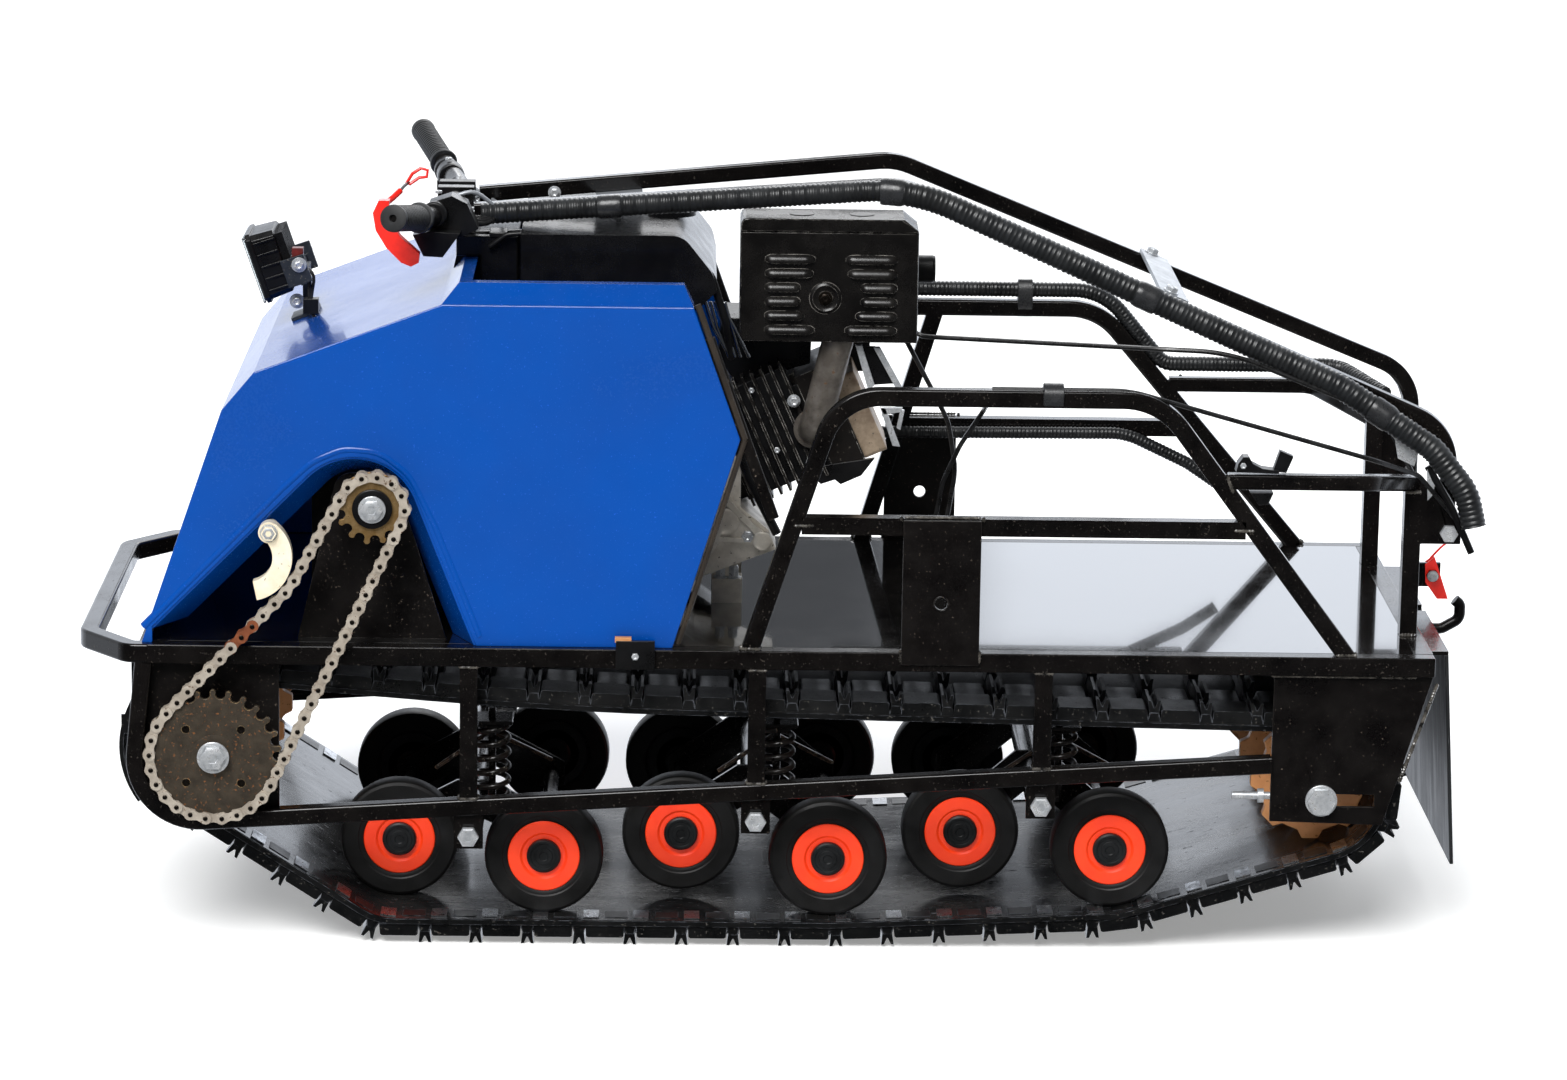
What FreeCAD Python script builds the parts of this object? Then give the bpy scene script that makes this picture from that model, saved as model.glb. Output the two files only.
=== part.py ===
"""Tracked snow towing vehicle: a walk-behind or sled-towing tug on one wide rubber track.

Frame of the model: +X is forward, +Y is the vehicle's left, +Z is up, and the origin lies on
the ground under the middle of the track. Lengths are millimetres.
"""
import FreeCAD
import Part
import PartDesign  # noqa: F401  registers the PartDesign object types
import Sketcher
import math
import os

V = FreeCAD.Vector
DOC = FreeCAD.newDocument("snow_tug")

# Driving dimensions: cell alias, value, meaning.
DIMENSIONS = [
    ("tube", 18, "side of the square frame tube"),
    ("tube_corner", 3, "outer corner radius of the square tube"),
    ("frame_half", 271, "half distance between the centres of the side frames"),
    ("rail_front", 657, "front end of the deck rails"),
    ("rail_rear", -668, "rear end of the deck rails"),
    ("rail_side", 20, "side of the deck rail tube"),
    ("deck_top", 326, "height of the deck and of the deck rails"),
    ("sheet", 2, "thickness of hood and deck sheet"),
    ("plate", 4, "thickness of the side and hinge plates"),
    ("low_front_x", 678, "lower rail: corner under the front axle"),
    ("low_front_z", 133, "lower rail: height of that corner"),
    ("low_rear_x", -503, "lower rail: rear end at the rear plate"),
    ("low_rear_z", 210, "lower rail: height of that end"),
    ("low_bend", 66, "lower rail: bend radius"),
    ("post_front", 327, "frame post and first bogie"),
    ("post_mid", 30, "frame post and second bogie"),
    ("post_rear", -265, "frame post and third bogie"),
    ("belt_half", 250, "half width of the track belt"),
    ("belt", 7, "thickness of the belt"),
    ("lug", 21, "height of the track lugs"),
    ("lug_pitch", 52.4, "nominal spacing of the track lugs"),
    ("drive_x", 588, "front axle"),
    ("drive_z", 212, "front axle height"),
    ("idle_x", -556, "rear axle"),
    ("idle_z", 172, "rear axle height"),
    ("star", 66, "radius at which the belt rides on the stars"),
    ("sag", 10, "sag of the upper run of the track"),
    ("axle", 10, "radius of the track axles"),
    ("roller", 62, "radius of the road rollers"),
    ("roller_width", 30, "width of a roller tyre"),
    ("hub", 38, "radius of a roller hub ring"),
    ("cap", 18, "radius of a roller centre cap"),
    ("wheelbase", 154, "bogie wheelbase"),
    ("inner_rollers", 150, "half track of the front rollers of a bogie"),
    ("outer_rollers", 212, "half track of the rear rollers of a bogie"),
    ("chain_plane", 292, "plane of the drive chain"),
    ("chain_pitch", 15.875, "pitch of the drive chain"),
    ("jack_x", 425, "jackshaft with the small sprocket"),
    ("jack_z", 474, "jackshaft height"),
    ("big_teeth", 26, "teeth of the driven sprocket"),
    ("small_teeth", 13, "teeth of the driving sprocket"),
    ("guide_x", 552, "centre of the chain guide's curve"),
    ("guide_z", 422, "height of that centre"),
    ("guide", 45.5, "radius of the chain guide's bearing face"),
    ("hoop_top", 592, "centre height of the side hoops"),
    ("hoop_bend", 60, "bend radius of the side hoops"),
    ("mid_rail", 458, "centre height of the hoop mid rail"),
    ("rear_bar", 508, "centre height of the upper rear bar"),
    ("post_half", 171, "half distance between the rear posts"),
    ("rear_post_x", -652, "rear posts"),
    ("rear_post_top", 495, "top of the rear posts"),
    ("flap_half", 205, "half width of the mud flap"),
    ("pivot_x", -690, "pivot of the tow handle"),
    ("pivot_z", 437, "pivot height of the tow handle"),
    ("arm", 17, "side of the tow handle tube"),
    ("hood_half", 272, "half width of the hood"),
    ("crank_x", 140, "crankshaft of the engine"),
    ("crank_z", 430, "crankshaft height"),
    ("engine_base", 348, "underside of the engine feet"),
    ("lean", 24, "rise of the cylinder above the level, degrees"),
    ("bore_hole", 6.5, "radius of the hole in each mount plate"),
]


class Size:
    """A number that remembers the sheet formula it comes from."""

    def __init__(self, value, formula):
        self.value = value
        self.formula = formula

    @staticmethod
    def of(number):
        return number if isinstance(number, Size) else Size(float(number), f"({number})")

    def _with(self, other, value, sign):
        return Size(value, f"({self.formula} {sign} {Size.of(other).formula})")

    def __add__(self, other):
        return self._with(other, self.value + Size.of(other).value, "+")

    def __sub__(self, other):
        return self._with(other, self.value - Size.of(other).value, "-")

    def __mul__(self, other):
        return self._with(other, self.value * Size.of(other).value, "*")

    def __truediv__(self, other):
        return self._with(other, self.value / Size.of(other).value, "/")

    def __radd__(self, other):
        return Size.of(other) + self

    def __rsub__(self, other):
        return Size.of(other) - self

    def __rmul__(self, other):
        return Size.of(other) * self

    def __neg__(self):
        return Size.of(0) - self


class Sheet:
    """The spreadsheet of driving dimensions, read as attributes."""

    def __init__(self, rows):
        cells = DOC.addObject("Spreadsheet::Sheet", "Sizes")
        for row, (alias, value, meaning) in enumerate(rows, start=1):
            cells.set(f"A{row}", meaning)
            cells.set(f"B{row}", str(value))
            cells.setAlias(f"B{row}", alias)
        DOC.recompute()
        self.values = {alias: float(cells.get(alias)) for alias, _, _ in rows}

    def __getattr__(self, alias):
        return Size(self.values[alias], f"Sizes.{alias}")


S = Sheet(DIMENSIONS)


# ---------------------------------------------------------------- helpers
def num(size):
    """The plain number of a Size or a number."""
    return Size.of(size).value


def bind(thing, prop, size):
    """Sets a property and ties it to the sheet."""
    size = Size.of(size)
    thing.setExpression(prop, size.formula)


def place(thing, x=0, y=0, z=0, axis=(0, 0, 1), angle=0):
    """Places an object, with its base tied to the sheet."""
    thing.Placement = FreeCAD.Placement(V(num(x), num(y), num(z)), FreeCAD.Rotation(V(*axis), angle))
    for prop, size in (("x", x), ("y", y), ("z", z)):
        bind(thing, f".Placement.Base.{prop}", size)
    return thing


def hidden(kind):
    """A working object that other objects are built from."""
    return DOC.addObject(kind, "work")


def block(low, high):
    """A box between two corners."""
    box = hidden("Part::Box")
    bind(box, "Length", high[0] - Size.of(low[0]))
    bind(box, "Width", high[1] - Size.of(low[1]))
    bind(box, "Height", high[2] - Size.of(low[2]))
    return place(box, *low)


def tilted_block(size, centre, angle):
    """A box of a given size about a centre, pitched about Y."""
    box = hidden("Part::Box")
    for prop, length in zip(("Length", "Width", "Height"), size):
        bind(box, prop, length)
    pitch = FreeCAD.Rotation(V(0, 1, 0), angle)
    corner = V(*centre) - pitch.multVec(V(*[num(length) / 2 for length in size]))
    return place(box, corner.x, corner.y, corner.z, (0, 1, 0), angle)


TURN = {"x": ((0, 1, 0), 90), "y": ((1, 0, 0), -90), "z": ((0, 0, 1), 0)}


def rod(radius, length, x, y, z, along="y"):
    """A round bar that starts at a point and runs along +X, +Y or +Z."""
    bar = hidden("Part::Cylinder")
    bind(bar, "Radius", radius)
    bind(bar, "Height", length)
    return place(bar, x, y, z, *TURN[along])


def axle(radius, half, x, z):
    """A round bar across the vehicle, centred on its middle plane."""
    return rod(radius, Size.of(half) * 2, x, -Size.of(half), z)


def cut(base, *tools):
    """The base without the tools."""
    for tool in tools:
        result = hidden("Part::Cut")
        result.Base = base
        result.Tool = tool
        base = result
    return base


def fuse(*shapes):
    """The shapes as one solid."""
    result = hidden("Part::MultiFuse")
    result.Shapes = list(shapes)
    result.Refine = True
    return result


def gather(*shapes):
    """Solids that don't touch, kept together."""
    result = hidden("Part::Compound")
    result.Links = list(shapes)
    return result


def mirror(thing):
    """The same piece on the vehicle's other side."""
    result = hidden("Part::Mirroring")
    result.Source = thing
    result.Normal = V(0, 1, 0)
    return result


def both(thing):
    """The piece and its mirror image."""
    return gather(thing, mirror(thing))


def feature(shape):
    """A piece whose shape is made with Part's own functions."""
    result = hidden("Part::Feature")
    result.Shape = shape
    return result


def node(name, thing):
    """Names a finished sub-part."""
    thing.Label = name
    NODES.append(thing)
    return thing


NODES = []


def outline(sketch, points):
    """Draws a closed polygon whose corners are tied to the sheet."""
    count = len(points)
    spots = [V(num(u), num(v), 0) for u, v in points]
    for index in range(count):
        sketch.addGeometry(Part.LineSegment(spots[index], spots[(index + 1) % count]), False)
    for index in range(count):
        sketch.addConstraint(Sketcher.Constraint("Coincident", index, 2, (index + 1) % count, 1))
    for index, point in enumerate(points):
        for kind, size in zip(("DistanceX", "DistanceY"), point):
            place_in = sketch.addConstraint(Sketcher.Constraint(kind, -1, 1, index, 1, num(size)))
            name = f"{kind}{index}"
            sketch.renameConstraint(place_in, name)
            bind(sketch, f"Constraints.{name}", size)


def hole(sketch, u, v, radius):
    """Adds a round hole to a sketch."""
    index = sketch.addGeometry(Part.Circle(V(num(u), num(v), 0), V(0, 0, 1), num(radius)), False)
    for kind, size in (("DistanceX", u), ("DistanceY", v)):
        sketch.addConstraint(Sketcher.Constraint(kind, -1, 1, index, 3, num(size)))
    last = sketch.addConstraint(Sketcher.Constraint("Radius", index, num(radius)))
    name = f"Radius{index}"
    sketch.renameConstraint(last, name)
    bind(sketch, f"Constraints.{name}", radius)


def side_plate(points, y, thickness, holes=(), fillet=None):
    """A plate cut in the X-Z plane: a pad that grows from y towards +Y."""
    body = DOC.addObject("PartDesign::Body", "work")
    sketch = body.newObject("Sketcher::SketchObject", "outline")
    plane = next(item for item in body.Origin.OriginFeatures if item.Role == "XZ_Plane")
    sketch.AttachmentSupport = [(plane, "")]
    sketch.MapMode = "FlatFace"
    outline(sketch, points)
    for spot in holes:
        hole(sketch, *spot)
    pad = body.newObject("PartDesign::Pad", "pad")
    pad.Profile = sketch
    bind(pad, "Length", thickness)
    pad.Reversed = True
    DOC.recompute()
    if fillet:
        corners, radius = fillet
        edges = [f"Edge{n + 1}" for n, edge in enumerate(pad.Shape.Edges) if upright_at(edge, corners)]
        rounding = body.newObject("PartDesign::Fillet", "fillet")
        rounding.Base = (pad, edges)
        bind(rounding, "Radius", radius)
        body.Tip = rounding
    return place(body, 0, y, 0)


def upright_at(edge, corners):
    """Whether an edge runs across the plate at one of the given X, Z corners."""
    first, last = edge.Vertexes[0].Point, edge.Vertexes[-1].Point
    if abs(first.x - last.x) > 0.01 or abs(first.z - last.z) > 0.01:
        return False
    return any(math.hypot(first.x - num(x), first.z - num(z)) < 0.1 for x, z in corners)


def bent_wire(points, radii):
    """Straight runs joined by tangent arcs; one radius for each inner point."""
    spots = [V(*[num(c) for c in point]) for point in points]
    edges = []
    start = spots[0]
    for before, corner, after, radius in zip(spots, spots[1:], spots[2:], radii):
        inward = (before - corner).normalize()
        outward = (after - corner).normalize()
        half = inward.getAngle(outward) / 2
        reach = radius / math.tan(half)
        first = corner + inward * reach
        last = corner + outward * reach
        centre = corner + (inward + outward).normalize() * (radius / math.sin(half))
        middle = centre + (corner - centre).normalize() * radius
        edges.append(Part.LineSegment(start, first).toShape())
        edges.append(Part.Arc(first, middle, last).toShape())
        start = last
    edges.append(Part.LineSegment(start, spots[-1]).toShape())
    return Part.Wire(edges)


def square_section(wire, wide, tall, corner, sideways):
    """A rectangle with round corners at the start of a wire, square to it."""
    start = wire.Edges[0].Vertexes[0].Point
    along = wire.Edges[0].tangentAt(wire.Edges[0].FirstParameter)
    side = V(*sideways)
    up = along.cross(side).normalize()
    side = up.cross(along).normalize()
    matrix = FreeCAD.Matrix(
        side.x, up.x, along.x, start.x,
        side.y, up.y, along.y, start.y,
        side.z, up.z, along.z, start.z,
        0, 0, 0, 1,
    )
    loop = rounded_rectangle(wide, tall, corner)
    loop.transformShape(matrix)
    return loop


def rounded_rectangle(wide, tall, corner):
    """A closed wire in the X-Y plane, centred on the origin."""
    shapes = []
    for right, up, turn in ((1, 1, 0), (-1, 1, 90), (-1, -1, 180), (1, -1, 270)):
        centre = V(right * (wide / 2 - corner), up * (tall / 2 - corner), 0)
        circle = Part.Circle(centre, V(0, 0, 1), corner)
        shapes.append(Part.Arc(circle, math.radians(turn), math.radians(turn + 90)).toShape())
    loop = []
    for index, shape in enumerate(shapes):
        following = shapes[(index + 1) % 4]
        loop.append(shape)
        loop.append(Part.LineSegment(shape.Vertexes[-1].Point, following.Vertexes[0].Point).toShape())
    return Part.Wire(loop)


def square_tube(points, radii, side, sideways=(0, 1, 0)):
    """A bent square tube, closed at its ends by its welds."""
    wire = bent_wire(points, radii)
    section = square_section(wire, num(side), num(side), num(S.tube_corner), sideways)
    return feature(wire.makePipeShell([section], True, False))


def round_tube(points, radii, radius):
    """A bent round tube, rod or hose."""
    wire = bent_wire(points, radii)
    along = wire.Edges[0].tangentAt(wire.Edges[0].FirstParameter)
    start = wire.Edges[0].Vertexes[0].Point
    section = Part.Wire([Part.Circle(start, along, num(radius)).toShape()])
    return feature(wire.makePipeShell([section], True, False))


def bolt_head(radius, x, y, z, length=6):
    """A hexagon head that stands out towards +Y."""
    head = hidden("Part::Prism")
    head.Polygon = 6
    bind(head, "Circumradius", radius)
    bind(head, "Height", length)
    return place(head, x, y, z, *TURN["y"])


# ---------------------------------------------------------------- frame
def low_rail_z(x):
    """Centre height of the sloping lower rail."""
    run = (num(x) - num(S.low_front_x)) / (num(S.low_rear_x) - num(S.low_front_x))
    return num(S.low_front_z) + run * (num(S.low_rear_z) - num(S.low_front_z))


def deck_rails():
    """The two straight top rails of the frame."""
    low = (S.rail_rear, S.frame_half - S.rail_side / 2, S.deck_top - S.rail_side)
    high = (S.rail_front, S.frame_half + S.rail_side / 2, S.deck_top)
    node("deck_rails", both(block(low, high)))


def deck_plate():
    """The flat sheet that carries the engine and the load."""
    inside = S.frame_half - S.rail_side / 2
    low = (S.rail_rear + S.rail_side, -inside, S.deck_top - 3)
    high = (S.rail_front - S.rail_side, inside, S.deck_top)
    node("deck_plate", block(low, high))


def cross_members():
    """Tubes across the frame under the deck."""
    inside = S.frame_half - S.rail_side / 2
    low = S.deck_top - S.rail_side
    under = S.deck_top - 3
    front = block((S.rail_front - S.rail_side, -inside, low), (S.rail_front, inside, S.deck_top))
    rear = block((S.rail_rear, -inside, low), (S.rail_rear + S.rail_side, inside, S.deck_top))
    hangers = both(block((S.rail_rear - 24, 14, low + 6), (S.rail_rear + 2, S.flap_half, low + 10)))
    bars = [front, fuse(rear, hangers)]
    for x in (S.post_front, S.post_mid, S.post_rear):
        bars.append(block((x - S.tube / 2, -inside, under - 14), (x + S.tube / 2, inside, under)))
    node("cross_members", gather(*bars))


def lower_rail(name, side):
    """A bent lower rail with the lugs that carry the bogie pivots."""
    y = num(S.frame_half) * side
    points = [
        (S.low_front_x - 17, y, S.deck_top - S.rail_side),
        (S.low_front_x, y, S.low_front_z),
        (S.low_rear_x, y, S.low_rear_z),
    ]
    rail = square_tube(points, [num(S.low_bend)], S.tube)
    lugs = []
    for x in (S.post_front, S.post_mid, S.post_rear):
        z = pivot_height(x)
        top = low_rail_z(x) - 4
        ear = block((x - 15, y - 3, z - 14), (x + 15, y + 3, top))
        lugs.append(ear)
    pivots = [rod(8.2, 8, x, y - 4, pivot_height(x)) for x in (S.post_front, S.post_mid, S.post_rear)]
    node(name, cut(fuse(rail, *lugs), *pivots))


def pivot_height(x):
    """Height of a bogie pivot, which hangs under the lower rail."""
    return low_rail_z(x) - 31


def frame_posts():
    """Short uprights between the upper and lower rails, with the upper spring seats."""
    posts = []
    for x in (S.post_front, S.post_mid, S.post_rear):
        low = (x - S.tube / 2, S.frame_half - S.tube / 2, low_rail_z(x) + num(S.tube) / 2)
        high = (x + S.tube / 2, S.frame_half + S.tube / 2, S.deck_top - S.rail_side)
        top = S.deck_top - 95
        seat = block((x - 44, 183, top), (x, 227, top + 4))
        arm = block((x - S.tube / 2, 227, top), (x, S.frame_half - S.tube / 2 + 1, top + 4))
        posts.append(both(fuse(block(low, high), seat, arm)))
    node("frame_posts", gather(*posts))


def front_side_plates():
    """Plates inside the front bend of the lower rails that carry the front axle."""
    top = S.deck_top - S.rail_side
    points = [
        (S.low_front_x - 17, top),
        (S.low_front_x, S.low_front_z),
        (S.drive_x - 65, S.low_front_z + 10),
        (S.drive_x - 65, top),
    ]
    rounded = ([points[1]], S.low_bend)
    y = S.frame_half - S.tube / 2 - S.plate
    plate = side_plate(points, y, S.plate, [(S.drive_x, S.drive_z, S.axle + 0.3)], rounded)
    node("front_side_plates", both(plate))


def rear_side_plates():
    """Trapezoid plates at the rear with the adjusting slot of the rear axle."""
    top = S.deck_top - S.rail_side
    points = [
        (S.low_rear_x, S.idle_z - 23),
        (S.low_rear_x, top),
        (S.rail_rear, top),
        (S.idle_x - 64, S.idle_z - 26),
    ]
    y = S.frame_half - S.plate / 2
    plate = side_plate(points, y, S.plate)
    slot = block((S.idle_x - 55, y - 1, S.idle_z - 6.5), (S.idle_x, y + S.plate + 1, S.idle_z + 6.5))
    end = rod(S.axle + 0.3, S.plate + 2, S.idle_x, y - 1, S.idle_z)
    node("rear_side_plates", both(cut(plate, slot, end)))


def front_bumper():
    """A tube loop that stands out in front of the deck."""
    z = S.deck_top - S.rail_side / 2
    half = S.frame_half
    start = S.rail_front
    points = [
        (start, -half, z),
        (start + 18, -half, z),
        (start + 66, -half + 62, z),
        (start + 66, half - 62, z),
        (start + 18, half, z),
        (start, half, z),
    ]
    radii = [14, 26, 26, 14]
    node("front_bumper", square_tube(points, radii, S.rail_side, (0, 0, 1)))


def front_shield():
    """A curved sheet in front of the track, with tabs on the front side plates."""
    half = num(S.frame_half) - num(S.tube) / 2 - num(S.plate)
    x, z = num(S.drive_x), num(S.drive_z)
    faces = [shield_line(x, z, radius) for radius in (100.5, 96)]
    edges = list(faces[0].Edges)
    edges.append(Part.LineSegment(faces[0].Vertexes[-1].Point, faces[1].Vertexes[-1].Point).toShape())
    edges += list(faces[1].Edges)[::-1]
    edges.append(Part.LineSegment(faces[1].Vertexes[0].Point, faces[0].Vertexes[0].Point).toShape())
    sheet = Part.Face(Part.Wire(edges)).extrude(V(0, 2 * half, 0))
    sheet.translate(V(0, -half, 0))
    tab = block((x + 68, half - 3, z + 14), (x + 98, half, z + 34))
    node("front_shield", fuse(feature(sheet), both(tab)))


def shield_line(x, z, radius):
    """One face of the shield: an arc round the front axle and a straight upper part."""
    spots = []
    for turn in (-36, 0, 30):
        angle = math.radians(turn)
        spots.append(V(x + radius * math.cos(angle), 0, z + radius * math.sin(angle)))
    above = V(spots[2].x, 0, num(S.deck_top) - 22)
    return Part.Wire([Part.Arc(*spots).toShape(), Part.LineSegment(spots[2], above).toShape()])


# ---------------------------------------------------------------- hoops and hitch
def hoop_left():
    """The bent left hoop that guards the load on the deck."""
    y = num(S.frame_half)
    foot, top = num(S.deck_top), num(S.hoop_top)
    points = [(38, y, foot), (-48.5, y, top), (-377, y, top), (-576.5, y, foot)]
    bend = num(S.hoop_bend)
    node("hoop_left", square_tube(points, [bend, bend + 15], S.tube))


def hoop_right():
    """The right hoop: its front leg stands further back, under a top tube that runs on past it."""
    y = -num(S.frame_half)
    foot, top = num(S.deck_top), num(S.hoop_top)
    bar = square_tube([(-120, y, top), (-352, y, top), (-579, y, foot)], [num(S.hoop_bend) + 10], S.tube)
    leg = straight_bar((-92, y, foot), (-170, y, top - 4), num(S.tube))
    node("hoop_right", fuse(bar, leg))


def hoop_bars():
    """The mid rail of each hoop and the bar from it to the rear post."""
    mid = S.mid_rail
    height = num(S.rear_bar)
    pieces = []
    for side, front, rear, start in ((1, -13, -468, -449), (-1, -139, -457, -433)):
        y = S.frame_half * side
        low = (rear, y - S.tube / 2, mid - S.tube / 2)
        high = (front, y + S.tube / 2, mid + S.tube / 2)
        pieces.append(block(low, high))
        inner = (num(S.frame_half) - 2) * side
        end = (num(S.rear_post_x), (num(S.post_half) + 4) * side, height - 19)
        route = [(start, inner, height), (-594, inner, height), end]
        pieces.append(square_tube(route, [24], num(S.tube) - 2))
    node("hoop_bars", gather(*pieces))


def straight_bar(start, end, side):
    """A straight square bar between two points."""
    first, last = V(*start), V(*end)
    wire = Part.Wire([Part.LineSegment(first, last).toShape()])
    section = square_section(wire, side, side, 2, (0, 1, 0))
    return feature(wire.makePipeShell([section], True, False))


def mount_plates():
    """Plates on the hoops with one hole each for straps or an accessory."""
    low, high = S.deck_top - 12, S.mid_rail + 8
    points = [(-197, low), (-117, low), (-117, high), (-197, high)]
    y = S.frame_half + S.rail_side / 2
    plate = side_plate(points, y, S.plate, [(-157, 379, S.bore_hole)])
    node("mount_plates", both(plate))


def rear_posts():
    """Two uprights at the rear of the deck with the hinge plates of the tow handle."""
    low = (S.rear_post_x - S.tube / 2, S.post_half - S.tube / 2, S.deck_top)
    high = (S.rear_post_x + S.tube / 2, S.post_half + S.tube / 2, S.rear_post_top)
    points = [
        (S.rear_post_x, 425),
        (S.rear_post_x, 492),
        (S.rear_post_x - S.tube / 2 - 12, 488),
        (S.pivot_x - 13, S.pivot_z + 12),
        (S.pivot_x - 13, S.pivot_z - 12),
    ]
    y = S.post_half + S.tube / 2 - S.plate
    plate = side_plate(points, y, S.plate, [(S.pivot_x, S.pivot_z, 5.4)])
    node("rear_posts", both(fuse(block(low, high), plate)))


def hinge_bolts():
    """The bolts that the tow handle turns on."""
    y = S.post_half + S.tube / 2 - S.plate
    shank = rod(5, S.plate + S.arm + 8, S.pivot_x, y - S.arm - 5, S.pivot_z)
    head = bolt_head(9.5, S.pivot_x, y + S.plate + 0.2, S.pivot_z)
    node("hinge_bolts", both(fuse(shank, head)))


def hitch_post():
    """The upright in the middle that carries the tow hook, with the pin of its latch."""
    post = block((S.rail_rear - 14, -12, S.deck_top - 44), (S.rail_rear, 12, S.deck_top + 66))
    ear = block((S.rail_rear - 40, -3, S.deck_top + 14), (S.rail_rear - 10, 3, S.deck_top + 40))
    x = S.rail_rear - 31
    z = S.deck_top + 27
    shank = rod(4.05, 17, x, -8.5, z)
    head = bolt_head(7, x, 6.2, z, 4)
    node("hitch_post", fuse(post, ear, shank, head))


def tow_hook():
    """A bent round-bar hook, open at the top."""
    x = num(S.rail_rear) - 14
    z = num(S.deck_top) - 33
    points = [(x, 0, z), (x - 30, 0, z), (x - 49, 0, z + 11), (x - 49, 0, z + 27), (x - 43, 0, z + 32)]
    node("tow_hook", round_tube(points, [14, 11, 6.5], 6))


def hook_latch():
    """The sprung safety latch that closes the mouth of the hook."""
    x = S.rail_rear - 31
    z = S.deck_top + 27
    points = [(x - 2, z + 20), (x + 8, z + 12), (x + 7, z - 8), (x - 6, z - 26), (x - 18, z - 26)]
    left = side_plate(points, 3.6, 2, [(x, z, 4.1)])
    right = side_plate(points, -5.6, 2, [(x, z, 4.1)])
    bridge = block((x - 16.5, -5.6, z - 25.5), (x - 14.5, 5.6, z - 21))
    node("hook_latch", fuse(left, right, bridge))


def mud_flap():
    """A rubber sheet that hangs behind the track, notched round the tow hook."""
    top = num(S.deck_top - S.rail_side) + 6
    thick = 4
    x = num(S.rail_rear) - 20
    half = num(S.flap_half)
    low = 86
    corners = [(x, top), (x - 14, low), (x - 14 - thick, low), (x - thick, top)]
    spots = [V(across, -half, height) for across, height in corners]
    sheet = Part.Face(Part.makePolygon(spots + [spots[0]])).extrude(V(0, 2 * half, 0))
    notch = block((x - 20, -14, top - 36), (x + 10, 14, top + 1))
    node("mud_flap", cut(feature(sheet), notch))


# ---------------------------------------------------------------- track
def belt_circles():
    """What the inner face of the belt runs round: X, Z, radius, sense of the turn."""
    roller = num(S.roller) + 0.5
    ground = num(S.lug) + num(S.belt) + roller
    star = num(S.star)
    front = num(S.post_front) + num(S.wheelbase) / 2
    middle = num(S.post_mid) - num(S.wheelbase) / 2
    rear = num(S.post_rear) - num(S.wheelbase) / 2
    mean_top = (num(S.drive_z) + num(S.idle_z)) / 2 + star
    sag_radius = 5000
    return [
        (num(S.drive_x), num(S.drive_z), star, 1),
        (0, mean_top - num(S.sag) + sag_radius, sag_radius, -1),
        (num(S.idle_x), num(S.idle_z), star, 1),
        (rear, ground + 13, roller, 1),
        (middle, ground, roller, 1),
        (front, ground, roller, 1),
    ]


def tangent_points(first, second):
    """Where a straight run leaves the first circle and meets the second, turning left."""
    ax, az, ar, asense = first
    bx, bz, br, bsense = second
    dx, dz = bx - ax, bz - az
    gap = math.hypot(dx, dz)
    turn = math.asin((ar * asense - br * bsense) / gap)
    heading = math.atan2(dz, dx) + turn
    nx, nz = math.sin(heading), -math.cos(heading)
    leave = (ax + nx * ar * asense, az + nz * ar * asense)
    meet = (bx + nx * br * bsense, bz + nz * br * bsense)
    return leave, meet, heading


def loop_path(circles, offset):
    """A closed path round some circles, moved out by an offset, in the X-Z plane."""
    circles = [(x, z, r + offset * sense, sense) for x, z, r, sense in circles]
    count = len(circles)
    runs = [tangent_points(circles[i], circles[(i + 1) % count]) for i in range(count)]
    edges = []
    for index in range(count):
        leave, meet, heading = runs[index]
        edges.append(Part.LineSegment(V(leave[0], 0, leave[1]), V(meet[0], 0, meet[1])).toShape())
        x, z, radius, sense = circles[(index + 1) % count]
        following = runs[(index + 1) % count]
        turn = (following[2] - heading + math.pi) % (2 * math.pi) - math.pi
        if index == count - 1 or abs(turn) > 3:
            turn = turn % (2 * math.pi)
        half = heading + turn / 2
        middle = (x + math.sin(half) * radius * sense, z - math.cos(half) * radius * sense)
        last = following[0]
        bend = [V(across, 0, up) for across, up in (meet, middle, last)]
        edges.append(Part.Arc(*bend).toShape())
    return Part.Wire(edges)


def between(outer, inner):
    """The face between two closed loops."""
    return Part.makeFace([outer, inner], "Part::FaceMakerBullseye")


def belt_path(offset):
    """The closed path of the belt's inner face, moved out by an offset."""
    return loop_path(belt_circles(), offset)


def track():
    """The whole rubber track with its lugs, one fixed loop."""
    inner = belt_path(0)
    outer = belt_path(num(S.belt))
    ring = between(outer, inner)
    count = round(inner.Length / num(S.lug_pitch))
    spots = outer.discretize(Number=count + 1)[:-1]
    lugs = [lug_face(outer, spot) for spot in spots]
    profile = ring.fuse(lugs).removeSplitter()
    face = max(profile.Faces, key=lambda item: item.Area)
    half = num(S.belt_half)
    solid = face.extrude(V(0, 2 * half, 0))
    solid.translate(V(0, -half, 0))
    node("track", feature(solid))


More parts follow.
